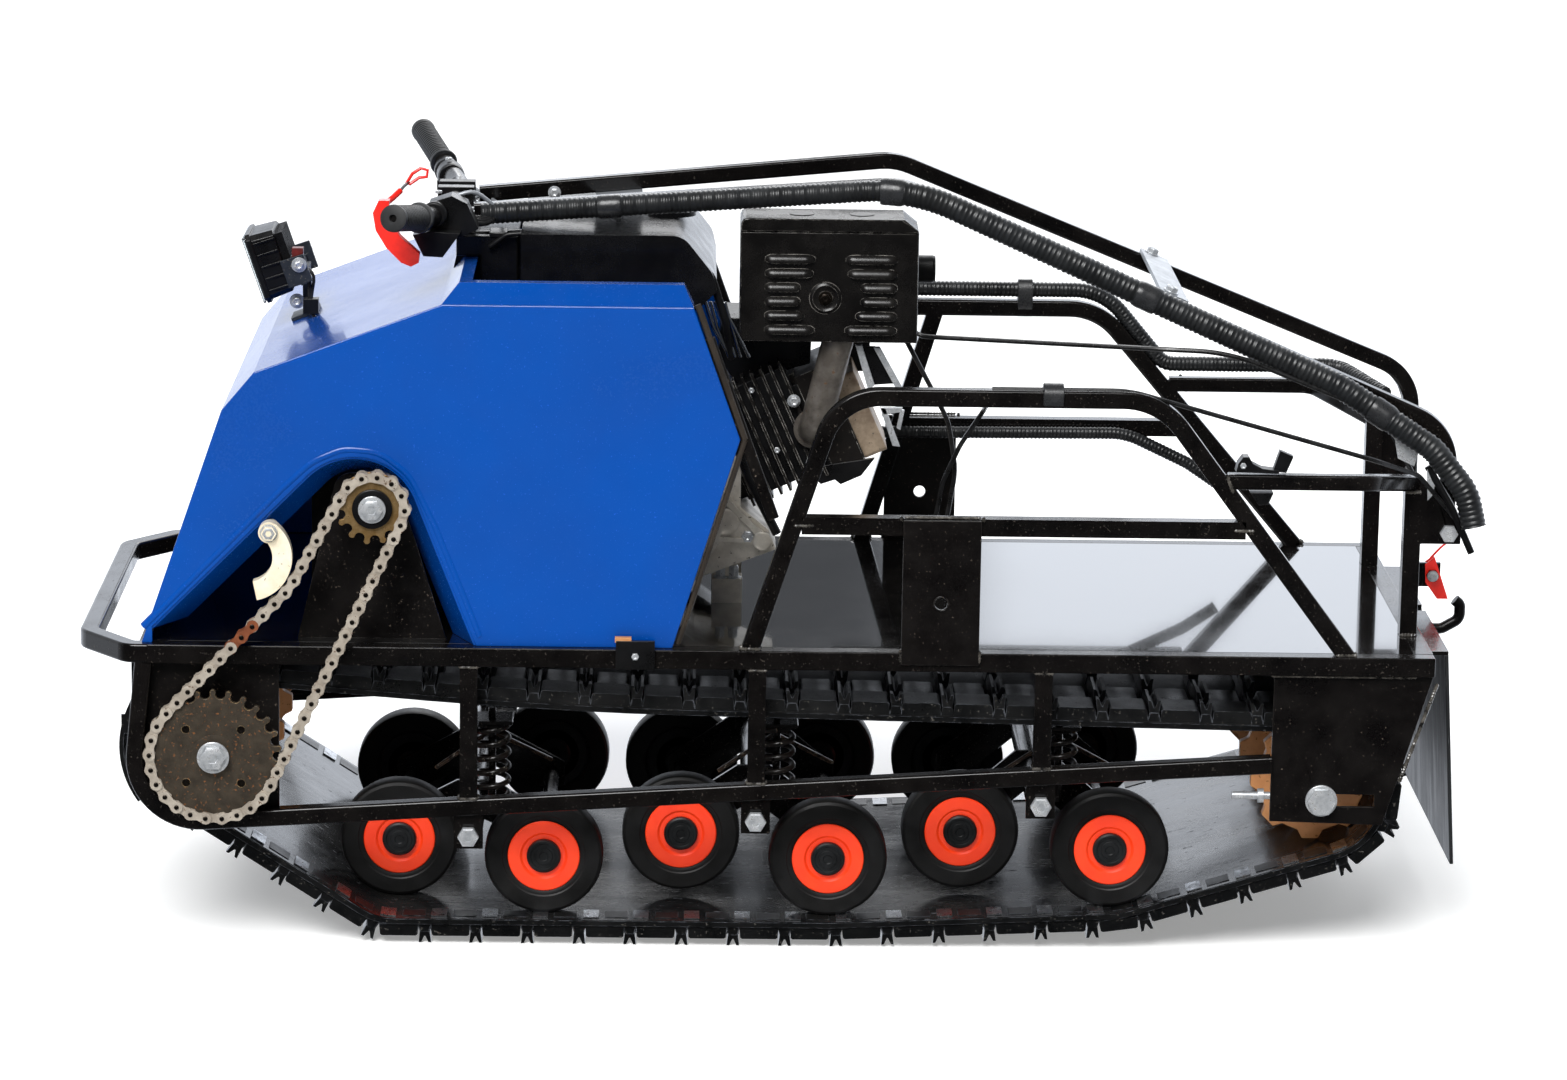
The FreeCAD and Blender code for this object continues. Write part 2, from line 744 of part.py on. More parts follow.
def lug_face(wire, spot):
    """The section of one lug, standing out from the belt."""
    edge = min(wire.Edges, key=lambda item: item.distToShape(Part.Vertex(spot))[0])
    along = edge.tangentAt(edge.Curve.parameter(spot))
    out = V(along.z, 0, -along.x)
    inside = wire.BoundBox.Center
    if out.dot(spot - inside) < 0:
        out = out * -1
    tall = num(S.lug)
    shape = ((-7, -1.5), (7, -1.5), (4, tall), (-4, tall))
    corners = [spot + along * across + out * up for across, up in shape]
    return Part.Face(Part.makePolygon(corners + [corners[0]]))


def track_axles():
    """The front and rear axles with their end bolts and the rear tensioner screws."""
    front = axle(S.axle, S.chain_plane + 3, S.drive_x, S.drive_z)
    front_bolt = both(bolt_head(15, S.drive_x, S.chain_plane + 3, S.drive_z, 8))
    rear = axle(S.axle, S.frame_half + 3, S.idle_x, S.idle_z)
    heads = both(bolt_head(15, S.idle_x, S.frame_half + 3, S.idle_z, 9))
    washers = both(rod(16.5, 2, S.idle_x, S.frame_half + 2, S.idle_z))
    screw = rod(4, 84, S.idle_x + 8, S.frame_half - 8, S.idle_z + 2, "x")
    nut = rod(7.5, 6, S.low_rear_x + 6, S.frame_half - 8, S.idle_z + 2, "x")
    screws = both(fuse(screw, nut))
    node("track_axles", gather(fuse(front, front_bolt), fuse(rear, heads, washers, screws)))


def star(x, z, y, bore):
    """One toothed track wheel."""
    teeth = 8
    root = num(S.star) - 9
    spots = []
    for index in range(teeth):
        tip = num(S.star) - 1
        for step, radius in ((-0.30, root), (-0.17, tip), (0.17, tip), (0.30, root)):
            angle = 2 * math.pi * (index + step) / teeth
            spots.append(V(num(x) + radius * math.cos(angle), y, num(z) + radius * math.sin(angle)))
    face = Part.Face(Part.makePolygon(spots + [spots[0]]))
    wheel = face.extrude(V(0, 12, 0))
    bore_tool = Part.makeCylinder(bore, 14, V(num(x), y - 1, num(z)), V(0, 1, 0))
    return feature(wheel.cut(bore_tool))


def track_stars():
    """Toothed wheels on both axles that drive and guide the track."""
    wheels = []
    for x, z in ((S.drive_x, S.drive_z), (S.idle_x, S.idle_z)):
        for y in (-186, -66, 54, 174):
            wheels.append(star(x, z, y, num(S.axle)))
    node("track_stars", gather(*wheels))


# ---------------------------------------------------------------- bogies
def bogie_centres():
    """X and height of each bogie pivot."""
    return [(x, pivot_height(x)) for x in (S.post_front, S.post_mid, S.post_rear)]


def roller_heights(index):
    """Heights of the front and rear axle of a bogie."""
    ground = S.lug + S.belt + S.roller + 0.6
    front = [0, 9, 14][index]
    rear = [0, 0, 13][index]
    return ground + front, ground + rear


def bogie_arms():
    """Rocking side arms with the pivot tube and lower spring seats of each bogie."""
    arms = []
    for index, (x, z) in enumerate(bogie_centres()):
        front_z, rear_z = roller_heights(index)
        front_x = x + S.wheelbase / 2
        rear_x = x - S.wheelbase / 2
        points = [
            (front_x - 14, front_z - 14),
            (front_x + 14, front_z - 14),
            (front_x + 14, front_z + 14),
            (x + 18, z + 18),
            (x - 18, z + 18),
            (rear_x - 14, rear_z + 14),
            (rear_x - 14, rear_z - 14),
            (rear_x + 14, rear_z - 14),
            (x, z - 20),
        ]
        holes = [(front_x, front_z, S.axle - 2), (rear_x, rear_z, S.axle - 2)]
        arm = side_plate(points, 112, 6, holes)
        tube = axle(14, 240, x, z)
        shaft = axle(8.5, 241, x, z)
        seat = block((x - 35, 183, z + 12), (x, 227, z + 16.5))
        arms.append(cut(fuse(both(arm), tube, both(seat)), shaft))
    node("bogie_arms", gather(*arms))


def bogie_axles():
    """Pivot shafts and roller axles of the bogies."""
    rods = []
    for index, (x, z) in enumerate(bogie_centres()):
        front_z, rear_z = roller_heights(index)
        shaft = axle(8, S.frame_half + 5, x, z)
        heads = both(bolt_head(10, x, S.frame_half + 3.5, z, 7))
        rods.append(fuse(shaft, heads))
        rods.append(axle(S.axle - 2, S.inner_rollers + 16, x + S.wheelbase / 2, front_z))
        rods.append(axle(S.axle - 2, S.outer_rollers + 16, x - S.wheelbase / 2, rear_z))
    node("bogie_axles", gather(*rods))


def roller_places():
    """Centre of every roller on the left side: X, Y, Z."""
    places = []
    for index, (x, _) in enumerate(bogie_centres()):
        front_z, rear_z = roller_heights(index)
        places.append((x + S.wheelbase / 2, S.inner_rollers, front_z))
        places.append((x - S.wheelbase / 2, S.outer_rollers, rear_z))
    return places


def rollers():
    """Rubber tyres and plastic hubs of the road rollers."""
    tyres = []
    hubs = []
    half = S.roller_width / 2
    for x, y, z in roller_places():
        rim = rod(S.hub, S.roller_width + 2, x, y - half - 1, z)
        tyres.append(both(cut(rod(S.roller, S.roller_width, x, y - half, z), rim)))
        ring = rod(S.hub, S.roller_width - 4, x, y - half + 2, z)
        cap = rod(S.cap, 7, x, y + half - 2, z)
        bore = rod(S.axle - 2, S.roller_width + 2, x, y - half - 1, z)
        hubs.append(both(cut(fuse(ring, cap), bore)))
    node("roller_tyres", gather(*tyres))
    node("roller_hubs", gather(*hubs))


def bogie_springs():
    """Coil springs between the frame and the bogies."""
    coils = []
    for x, z in bogie_centres():
        low = num(z) + 20
        tall = num(S.deck_top) - 98 - low
        pitch = 15
        helix = Part.makeHelix(pitch, tall, 17)
        start = V(17, 0, 0)
        section = Part.Wire([Part.Circle(start, V(0, 1, 0), 3).toShape()])
        coil = Part.Wire(helix).makePipeShell([section], True, True)
        coil.translate(V(num(x) - 22, 205, low))
        coils.append(both(feature(coil)))
    node("bogie_springs", gather(*coils))


# ---------------------------------------------------------------- chain drive
CHAIN_HALF = 7  # half height of a chain plate


def pitch_radius(teeth):
    """Pitch radius of a sprocket on the drive chain."""
    return num(S.chain_pitch) / (2 * math.sin(math.pi / num(teeth)))


def sprocket(teeth, x, z, phase):
    """A toothed disc for the drive chain."""
    pitch = pitch_radius(teeth)
    count = round(num(teeth))
    spots = []
    for index in range(count):
        root, tip = pitch - 5, pitch + 4.5
        for step, radius in ((-0.36, root), (-0.14, tip), (0.14, tip), (0.36, root)):
            angle = 2 * math.pi * (index + phase + step) / count
            spots.append(V(x + radius * math.cos(angle), 0, z + radius * math.sin(angle)))
    disc = Part.Face(Part.makePolygon(spots + [spots[0]])).extrude(V(0, 5.4, 0))
    disc.translate(V(0, num(S.chain_plane) - 2.7, 0))
    return disc


def chain_sprockets():
    """The driving and the driven sprocket with their hubs."""
    y = num(S.chain_plane)
    wheels = []
    for teeth, point, hub, bore in (
        (S.big_teeth, (num(S.drive_x), num(S.drive_z)), 24, num(S.axle)),
        (S.small_teeth, (num(S.jack_x), num(S.jack_z)), 17, 9.5),
    ):
        x, z = point
        disc = sprocket(teeth, x, z, 0.5)
        boss = Part.makeCylinder(hub, 18, V(x, y - 20, z), V(0, 1, 0))
        shaft = Part.makeCylinder(bore, 40, V(x, y - 30, z), V(0, 1, 0))
        wheels.append(feature(disc.fuse(boss).cut(shaft).removeSplitter()))
    node("chain_sprockets", gather(*wheels))


def drive_chain():
    """The roller chain as a grooved loop round both sprockets and over the guide."""
    circles = [
        (num(S.drive_x), num(S.drive_z), pitch_radius(S.big_teeth), 1),
        (num(S.guide_x), num(S.guide_z), num(S.guide) + CHAIN_HALF + 0.5, -1),
        (num(S.jack_x), num(S.jack_z), pitch_radius(S.small_teeth), 1),
    ]
    low, groove, top = [loop_path(circles, offset) for offset in (-6, 5.2, CHAIN_HALF)]
    y = num(S.chain_plane)
    side = between(top, low)
    middle = between(top, groove)
    left = side.extrude(V(0, 5.2, 0))
    left.translate(V(0, y + 3.2, 0))
    right = side.extrude(V(0, 5.2, 0))
    right.translate(V(0, y - 8.4, 0))
    bridge = middle.extrude(V(0, 8, 0))
    bridge.translate(V(0, y - 4, 0))
    node("drive_chain", feature(left.fuse([right, bridge]).removeSplitter()))


def chain_guide():
    """A curved plastic shoe that bears on the slack side of the chain."""
    outer = guide_arc(num(S.guide))
    inner = guide_arc(num(S.guide) - 20)
    edges = [outer.toShape(), inner.toShape()]
    for end in ("StartPoint", "EndPoint"):
        edges.append(Part.LineSegment(getattr(outer, end), getattr(inner, end)).toShape())
    shoe = Part.Face(Part.Wire(Part.__sortEdges__(edges))).extrude(V(0, 14, 0))
    y = S.frame_half + 12
    shoe.translate(V(0, num(y), 0))
    lobe_x = S.guide_x - 22
    lobe_z = S.guide_z + 26
    lobe = rod(11, 14, lobe_x, y, lobe_z)
    arm = rod(7, 24, lobe_x, S.frame_half - 10, lobe_z)
    bolt = bolt_head(8, lobe_x, y + 14, lobe_z)
    node("chain_guide", fuse(feature(shoe), lobe, arm, bolt))


def guide_arc(radius):
    """One curved face of the chain guide."""
    spots = []
    for turn in (130, 195, 258):
        angle = math.radians(turn)
        x = num(S.guide_x) + radius * math.cos(angle)
        spots.append(V(x, 0, num(S.guide_z) + radius * math.sin(angle)))
    return Part.Arc(*spots)


def jackshaft():
    """The bracket plates, gearbox and jackshaft in front of the engine."""
    top = S.jack_z + 26
    foot = [(352, S.deck_top), (505, S.deck_top)]
    points = foot + [(480, 430), (464, top), (S.jack_x - 4, top), (398, 470), (384, 430)]
    plates = []
    for y in (236, 96):
        plates.append(side_plate(points, y, 5, [(S.jack_x, S.jack_z, 11)], ([points[3]], 20)))
    bearing = cut(rod(25, 18, S.jack_x, 241, S.jack_z), rod(11, 20, S.jack_x, 240, S.jack_z))
    case = block((350, -40, S.deck_top), (500, 96, 470))
    node("gearbox", gather(fuse(plates[0], bearing), fuse(plates[1], case)))
    shaft = rod(9.5, S.chain_plane - 93, S.jack_x, 96, S.jack_z)
    head = bolt_head(13, S.jack_x, S.chain_plane + 3, S.jack_z, 7)
    node("jackshaft", fuse(shaft, head))


# ---------------------------------------------------------------- hood
HOOD_PROFILE = [(663, 326), (580, 569), (546.6, 609), (356.4, 681)]
HOOD_REAR = [(100, 681), (51, 545), (118, 326)]
ARCH_FOOT = (320, 326)
ARCH_CORNER = (419.6, 575.5)
ARCH_FRONT = (652, 342.6)
ARCH_RADIUS = 68


def hood_side(name, side):
    """A flat side panel of the hood; the left one has the chain's arch cut in it."""
    points = [HOOD_REAR[2]]
    rounded = None
    if side > 0:
        points += [ARCH_FOOT, ARCH_CORNER, ARCH_FRONT, (652, 326)]
        rounded = ([ARCH_CORNER], ARCH_RADIUS)
    points += HOOD_PROFILE + HOOD_REAR[:2]
    panel = side_plate(points, S.hood_half - S.sheet, S.sheet, (), rounded)
    node(name, panel if side > 0 else mirror(panel))


def arch_line(inset):
    """The arch of the chain opening, moved into the opening: points and bend radius."""
    foot, corner, front = [V(x, 0, z) for x, z in (ARCH_FOOT, ARCH_CORNER, ARCH_FRONT)]
    rear_way = (corner - foot).normalize()
    front_way = (front - corner).normalize()
    rear_in = V(rear_way.z, 0, -rear_way.x)
    front_in = V(front_way.z, 0, -front_way.x)
    bisector = (rear_in + front_in).normalize()
    half = bisector.getAngle(rear_in)
    moved = corner + bisector * (inset / math.cos(half))
    floor = num(S.deck_top) + 0.5
    rear_foot = moved - rear_way * ((moved.z - floor) / rear_way.z)
    front_foot = moved + front_way * ((moved.z - floor - 14) / -front_way.z)
    return [rear_foot, moved, front_foot], ARCH_RADIUS - inset


def arch_ribbon(inset, y):
    """A closed thin outline that follows the arch."""
    outer, outer_radius = arch_line(inset)
    inner, inner_radius = arch_line(inset + num(S.sheet))
    first = bent_wire(outer, [outer_radius])
    second = bent_wire(inner, [inner_radius])
    edges = list(first.Edges)
    edges.append(Part.LineSegment(outer[2], inner[2]).toShape())
    edges += list(second.Edges)[::-1]
    edges.append(Part.LineSegment(inner[0], outer[0]).toShape())
    loop = Part.Wire(edges)
    loop.translate(V(0, y, 0))
    return loop


def hood_flange():
    """The folded edge inside the arch, which leans into the opening."""
    near = num(S.hood_half - S.sheet)
    ribbon = Part.makeLoft([arch_ribbon(0, near), arch_ribbon(22, near - 55)], True, True)
    node("hood_flange", feature(ribbon))


def hood_top():
    """The folded front and top sheet with the raised rim round the engine opening."""
    half = num(S.hood_half - S.sheet)
    thick = num(S.sheet)
    outer = [V(x, 0, z) for x, z in HOOD_PROFILE]
    inward = [V(-thick - 0.2, 0, 0), V(-1.9, 0, -0.6), V(-0.9, 0, -1.9), V(0, 0, -2.1)]
    inner = [spot + step for spot, step in zip(outer, inward)]
    loop = outer + inner[::-1]
    face = Part.Face(Part.makePolygon(loop + [loop[0]]))
    face.translate(V(0, -half, 0))
    skin = face.extrude(V(0, 2 * half, 0))
    low, high = num(HOOD_PROFILE[3][1]), num(HOOD_PROFILE[3][1]) + 20
    rim = frustum((100, 356.4, half), (110, 339, half - 20), low - thick, low, high)
    core = frustum((102, 354, half - 2), (112, 337, half - 22), low - thick - 1, low - 1, high - thick)
    gap = Part.makeBox(240, 2 * half - 70, 40, V(86, -half + 35, low - thick - 1))
    node("hood_top", feature(skin.fuse(rim.cut(core).cut(gap)).removeSplitter()))


def frustum(low_sides, high_sides, floor, low, high):
    """A block with a bevelled top: (rear, front, half width) below and above."""
    rear, front, half = low_sides
    base = Part.makeBox(front - rear, 2 * half, low - floor, V(rear, -half, floor))
    lower = rectangle(rear, front, half, low)
    rear, front, half = high_sides
    upper = rectangle(rear, front, half, high)
    return base.fuse(Part.makeLoft([lower, upper], True, True)).removeSplitter()


def rectangle(rear, front, half, z):
    """A level rectangular wire."""
    spots = [V(rear, -half, z), V(front, -half, z), V(front, half, z), V(rear, half, z)]
    return Part.makePolygon(spots + [spots[0]])


def hood_braces():
    """Bars behind the rear edges of the hood."""
    node("hood_braces", both(straight_bar((84, 262, 648), (16, 262, 462), 12)))


# ---------------------------------------------------------------- engine
def leaning(shape):
    """Turns a shape made along +X at the origin onto the cylinder axis."""
    shape.rotate(V(0, 0, 0), V(0, 1, 0), 180 + num(S.lean))
    shape.translate(V(num(S.crank_x), 0, num(S.crank_z)))
    return feature(shape)


def crankcase():
    """The aluminium crankcase with its drive-side cover and feet."""
    x, z = S.crank_x, S.crank_z
    sump = num(S.engine_base)
    points = [
        (x - 92, z + 66),
        (x - 92, z + 8),
        (x - 122, z - 16),
        (x - 130, z - 37),
        (x - 45, z - 70),
        (x - 30, sump),
        (x + 80, sump),
        (x + 80, z + 66),
    ]
    body = side_plate(points, -60, 156)
    cover = rod(74, 18, x, 92, z)
    shaft_boss = rod(30, 14, x, 110, z)
    feet = []
    for y in (-44, 44):
        feet.append(block((x - 95, y - 16, S.deck_top), (x - 63, y + 16, S.engine_base + 4)))
        feet.append(block((x - 88, y - 9, S.deck_top), (x - 70, y + 9, z - 40)))
        feet.append(block((x + 36, y - 16, S.deck_top), (x + 68, y + 16, S.engine_base + 1)))
    return node("crankcase", fuse(body, cover, shaft_boss, *feet))


def cylinder(case):
    """The leaning cylinder with its cooling fins and head, and the pressed head cover."""
    core = Part.makeBox(126, 84, 104, V(66, -36, -72))
    fins = [Part.makeBox(3, 124, 133, V(98 + 10.5 * index, -54, -93)) for index in range(9)]
    head = Part.makeBox(34, 116, 113, V(192.0, -50, -70))
    cover = Part.makeBox(26, 92, 93, V(226.0, -40, -50))
    node("cylinder", cut(leaning(core.fuse(fins + [head])), case))
    node("rocker_cover", leaning(cover))


def exhaust():
    """The pipe from the head up to the muffler, and the muffler's body."""
    x = num(S.crank_x) - 168
    z = num(S.crank_z) + 89
    pipe = round_tube([(x, 70.5, z), (x, 94, z), (x - 29, 94, 640)], [22], 16.5)
    node("exhaust", fuse(pipe, block((-122, 56, 636), (40, 112, 738))))


def muffler_guard():
    """The pressed heat shield over the muffler, open below and at the back."""
    outer = block((-134, 50, 620), (52, 120, 750))
    inner = block((-132, 48, 619), (50, 118, 748))
    node("muffler_guard", cut(outer, inner))


def air_cleaner():
    """The air cleaner on the far side, with its round knob."""
    box = block((-128, -150, 615), (-4, 34, 700))
    knob = rod(14, 28, -156, 10, 681, "x")
    neck = block((-90, -66, 560), (-50, -42, 640))
    node("air_cleaner", fuse(box, knob, neck))


def fuel_tank():
    """The fuel tank on top of the engine, with its filler cap."""
    low, high = 655, 733
    points = [(76, low + 20), (80, high - 40), (112, high), (280, high), (280, low), (96, low)]
    rounded = ([points[1], points[2]], 24)
    tank = side_plate(points, -165, 300, (), rounded)
    node("fuel_tank", tank)


def electrics_box():
    """The black box with the electrics in front of the tank."""
    top = 723
    lower = block((284, -80, 640), (324, 90, top))
    node("electrics_box", fuse(lower, block((320, -80, 701.5), (349, 90, top))))


def fan_housing():
    """The fan cover and the pull starter on the far side of the engine."""
    x, z = S.crank_x, S.crank_z
    housing = rod(98, 62, x, -122, z)
    starter = rod(76, 30, x, -152, z)
    seat = block((x - 20, -110, z + 66), (x + 80, 70, 655))
    node("fan_housing", fuse(housing, starter, seat))


# ---------------------------------------------------------------- lamp
def headlight():
    """The lamp on its bracket on the slope of the hood."""
    node("headlight", tilted_block((42, 84, 76), (547, 0, 684), 19))
    foot = tilted_block((30, 40, 4), (512, 0, 624.4), 20.7)
    stem = block((508, -20, 624), (514, 20, 676))
    ears = [tilted_block((26, 4, 30), (519, y, 676), 19) for y in (-45, 45)]
    back = tilted_block((5, 94, 18), (514, 0, 670), 19)
    node("headlight_bracket", fuse(foot, stem, back, *ears))


# ---------------------------------------------------------------- tow handle
def arm_points(side):
    """Corners of one arm of the tow handle, from the handlebar to the pivot."""
    pivot = num(S.pivot_x), num(S.pivot_z)
    return [
        (330, 60 * side, 745),
        (-115, 95 * side, 782.5),
        (pivot[0], 160 * side, pivot[1] + 106),
        (pivot[0], 160 * side, pivot[1] - 14),
    ]


def draw_bars():
    """The two bent arms of the tow handle."""
    for name, side in (("draw_bar_left", 1), ("draw_bar_right", -1)):
        arm = square_tube(arm_points(side), [70, 55], S.arm)
        pin = rod(5.06, 20, S.pivot_x, 160 * side - 10, S.pivot_z)
        node(name, cut(arm, pin))


def handle_straps():
    """Flat cross straps: one over the arms at the rear, one under them at the front."""
    rear = tilted_block((32, 270, 4), (-400, 0, 675), -22.6)
    front = tilted_block((50, 160, 4), (181, 0, 747.1), 4.8)
    node("handle_straps", gather(rear, front))


def handlebar():
    """The handlebar, its clamp and its rubber grips."""
    left = [(405, 258, 767), (374, 155, 752), (352, 62, 750)]
    right = [(400, -258, 784), (371, -155, 761), (352, -62, 753)]
    points = right + left[::-1]
    bar = round_tube(points, [50, 60, 60, 50], 11)
    node("handlebar", bar)
    plate = block((331, -66, 729), (345, 66, 741))
    riser = block((331, -26, 729), (371, 26, 764))
    clamp = cut(fuse(plate, riser), round_tube(points, [50, 60, 60, 50], 11))
    grips = []
    for corner, end in ((left[1], left[0]), (right[1], right[0])):
        outer = V(*end)
        inner = V(*corner) + (outer - V(*corner)) * 0.058
        way = (outer - inner).normalize()
        core = Part.makeCylinder(11, 103, inner - way * 3, way)
        sleeve = Part.makeCylinder(14.5, 106, inner, way).cut(core)
        grips.append(feature(sleeve))
    node("grips", gather(*grips))
    boxes = []
    for side in (1, -1):
        low = (350, 118 * side - 17, 738)
        high = (386, 118 * side + 17, 776)
        boxes.append(cut(block(low, high), round_tube(points, [50, 60, 60, 50], 11)))
    node("bar_controls", gather(clamp, *boxes))


def handle_conduit():
    """The ribbed hose strapped along the left arm, which carries the control cables."""
    points = [
        (322, 83, 745.4),
        (-125, 120, 783.4),
        (-575, 170, 587.9),
        (-669, 193, 528.4),
        (-704, 204, 485),
        (-712, 208, 450),
    ]
    node("handle_conduit", round_tube(points, [200, 150, 60, 60], 12.5))


def frame_conduits():
    """Ribbed hoses strapped along the right hoop."""
    y = -num(S.frame_half)
    top = num(S.hoop_top) + 22
    bar = num(S.rear_bar) + 24
    route = [(-118, y, top), (-362, y, top), (-432, y, bar), (-622, y, bar), (-666, -190, bar - 17)]
    upper = round_tube(route, [70, 25, 30], 8.5)
    low = num(S.mid_rail) - 4
    inner = y + num(S.tube) / 2 + 8.5
    lower = round_tube([(-60, inner, low - 2), (-385, inner, low), (-450, inner, low - 30)], [80], 7)
    node("frame_conduits", gather(upper, lower))


def control_cables():
    """Thin cables laid along the left hoop and from there to the left rear post."""
    y = num(S.frame_half)
    top = num(S.hoop_top) + num(S.tube) / 2
    low = top + 3.2
    laid = [
        round_tube([(-200, y + shift, low), (-330, y + shift, low)], [], 3)
        for shift in (-4, 4)
    ]
    route = [
        (-205, y, top + 9),
        (-345, y, top + 9),
        (-600, 258, 529),
        (-652, 213, 505),
        (-697, 187, 452),
    ]
    node("control_cables", gather(round_tube(route, [120, 30, 30], 2.5), *laid))


def main():
    """Builds every sub-part, checks them all and writes them out."""
    deck_rails()
    deck_plate()
    cross_members()
    lower_rail("lower_rail_left", 1)
    lower_rail("lower_rail_right", -1)
    frame_posts()
    front_side_plates()
    rear_side_plates()
    front_bumper()
    front_shield()
    hoop_left()
    hoop_right()
    hoop_bars()
    mount_plates()
    rear_posts()
    hinge_bolts()
    hitch_post()
    tow_hook()
    hook_latch()
    mud_flap()
    track()
    track_axles()
    track_stars()
    bogie_arms()
    bogie_axles()
    rollers()
    bogie_springs()
    chain_sprockets()
    drive_chain()
    chain_guide()
    jackshaft()
    hood_side("hood_side_left", 1)
    hood_side("hood_side_right", -1)
    hood_flange()
    hood_top()
    hood_braces()
    cylinder(crankcase())
    exhaust()
    muffler_guard()
    air_cleaner()
    fuel_tank()
    electrics_box()
    fan_housing()
    headlight()
    draw_bars()
    handle_straps()
    handlebar()
    handle_conduit()
    frame_conduits()
    control_cables()
    DOC.recompute()
    for thing in DOC.Objects:
        if {"Invalid", "Error"} & set(thing.State):
            users = [user.Label for user in thing.InList]
            raise RuntimeError(f"{thing.Name} ({thing.TypeId}) used by {users} failed: {thing.State}")
    for thing in NODES:
        if thing.Shape.isNull() or not thing.Shape.isValid() or not thing.Shape.Solids:
            raise RuntimeError(f"{thing.Label} has no valid solid")
    os.makedirs("parts", exist_ok=True)
    for thing in NODES:
        thing.Shape.exportStep(f"parts/{thing.Label}.step")
    print(len(NODES), "sub-parts written")


main()
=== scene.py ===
"""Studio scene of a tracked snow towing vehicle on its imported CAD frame.

Axes follow the frame: +X forward, +Y the vehicle's left, +Z up. Sizes in the classes are
millimetres; MM turns them into the scene's metres.
"""
import logging
import math
import random
from dataclasses import dataclass, replace
from enum import Enum

import bmesh
import bpy
from mathutils import Matrix, Vector


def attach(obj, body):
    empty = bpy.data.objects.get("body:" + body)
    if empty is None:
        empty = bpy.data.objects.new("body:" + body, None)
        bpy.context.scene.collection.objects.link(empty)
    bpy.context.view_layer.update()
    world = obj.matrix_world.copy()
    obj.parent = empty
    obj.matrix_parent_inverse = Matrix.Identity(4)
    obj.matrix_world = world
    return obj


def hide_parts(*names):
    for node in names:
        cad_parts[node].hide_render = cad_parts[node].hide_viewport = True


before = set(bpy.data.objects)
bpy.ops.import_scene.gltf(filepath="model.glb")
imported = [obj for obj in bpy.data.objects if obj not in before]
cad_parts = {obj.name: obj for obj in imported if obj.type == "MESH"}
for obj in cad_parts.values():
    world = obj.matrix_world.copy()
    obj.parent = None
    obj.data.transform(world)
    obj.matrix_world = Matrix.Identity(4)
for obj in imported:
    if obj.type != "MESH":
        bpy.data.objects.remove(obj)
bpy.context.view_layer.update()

LOG = logging.getLogger("snow_tug")
MM = 0.001
Point = tuple[float, float, float]
MIX_FACTOR, MIX_A, MIX_B, MIX_OUT = 0, 6, 7, 2


class Body(str, Enum):
    """The moving bodies of the frame."""

    CHASSIS = "chassis"
    HANDLE = "handle"
    LATCH = "latch"


# ------------------------------------------------------------------ finishes
def linear(code: str) -> tuple[float, float, float, float]:
    """Turns an sRGB hex code into a linear colour.

    Args:
        code: A colour such as "#0A5CCF".

    Returns:
        Red, green, blue and an alpha of one.
    """
    parts = [int(code[index : index + 2], 16) / 255 for index in (1, 3, 5)]
    return (*[p / 12.92 if p <= 0.04045 else ((p + 0.055) / 1.055) ** 2.4 for p in parts], 1.0)


def add_node(tree: bpy.types.NodeTree, kind: str, inputs: dict | None = None, **props) -> bpy.types.Node:
    """Adds one node with its properties, socket values and links.

    Args:
        tree: The tree that gets the node.
        kind: The node's type name.
        inputs: A value or a source socket for each input, by name or index.
        **props: Properties of the node itself.

    Returns:
        The new node.
    """
    node = tree.nodes.new(kind)
    for name, value in props.items():
        setattr(node, name, value)
    for key, value in (inputs or {}).items():
        if isinstance(value, bpy.types.NodeSocket):
            tree.links.new(value, node.inputs[key])
        else:
            node.inputs[key].default_value = value
    return node


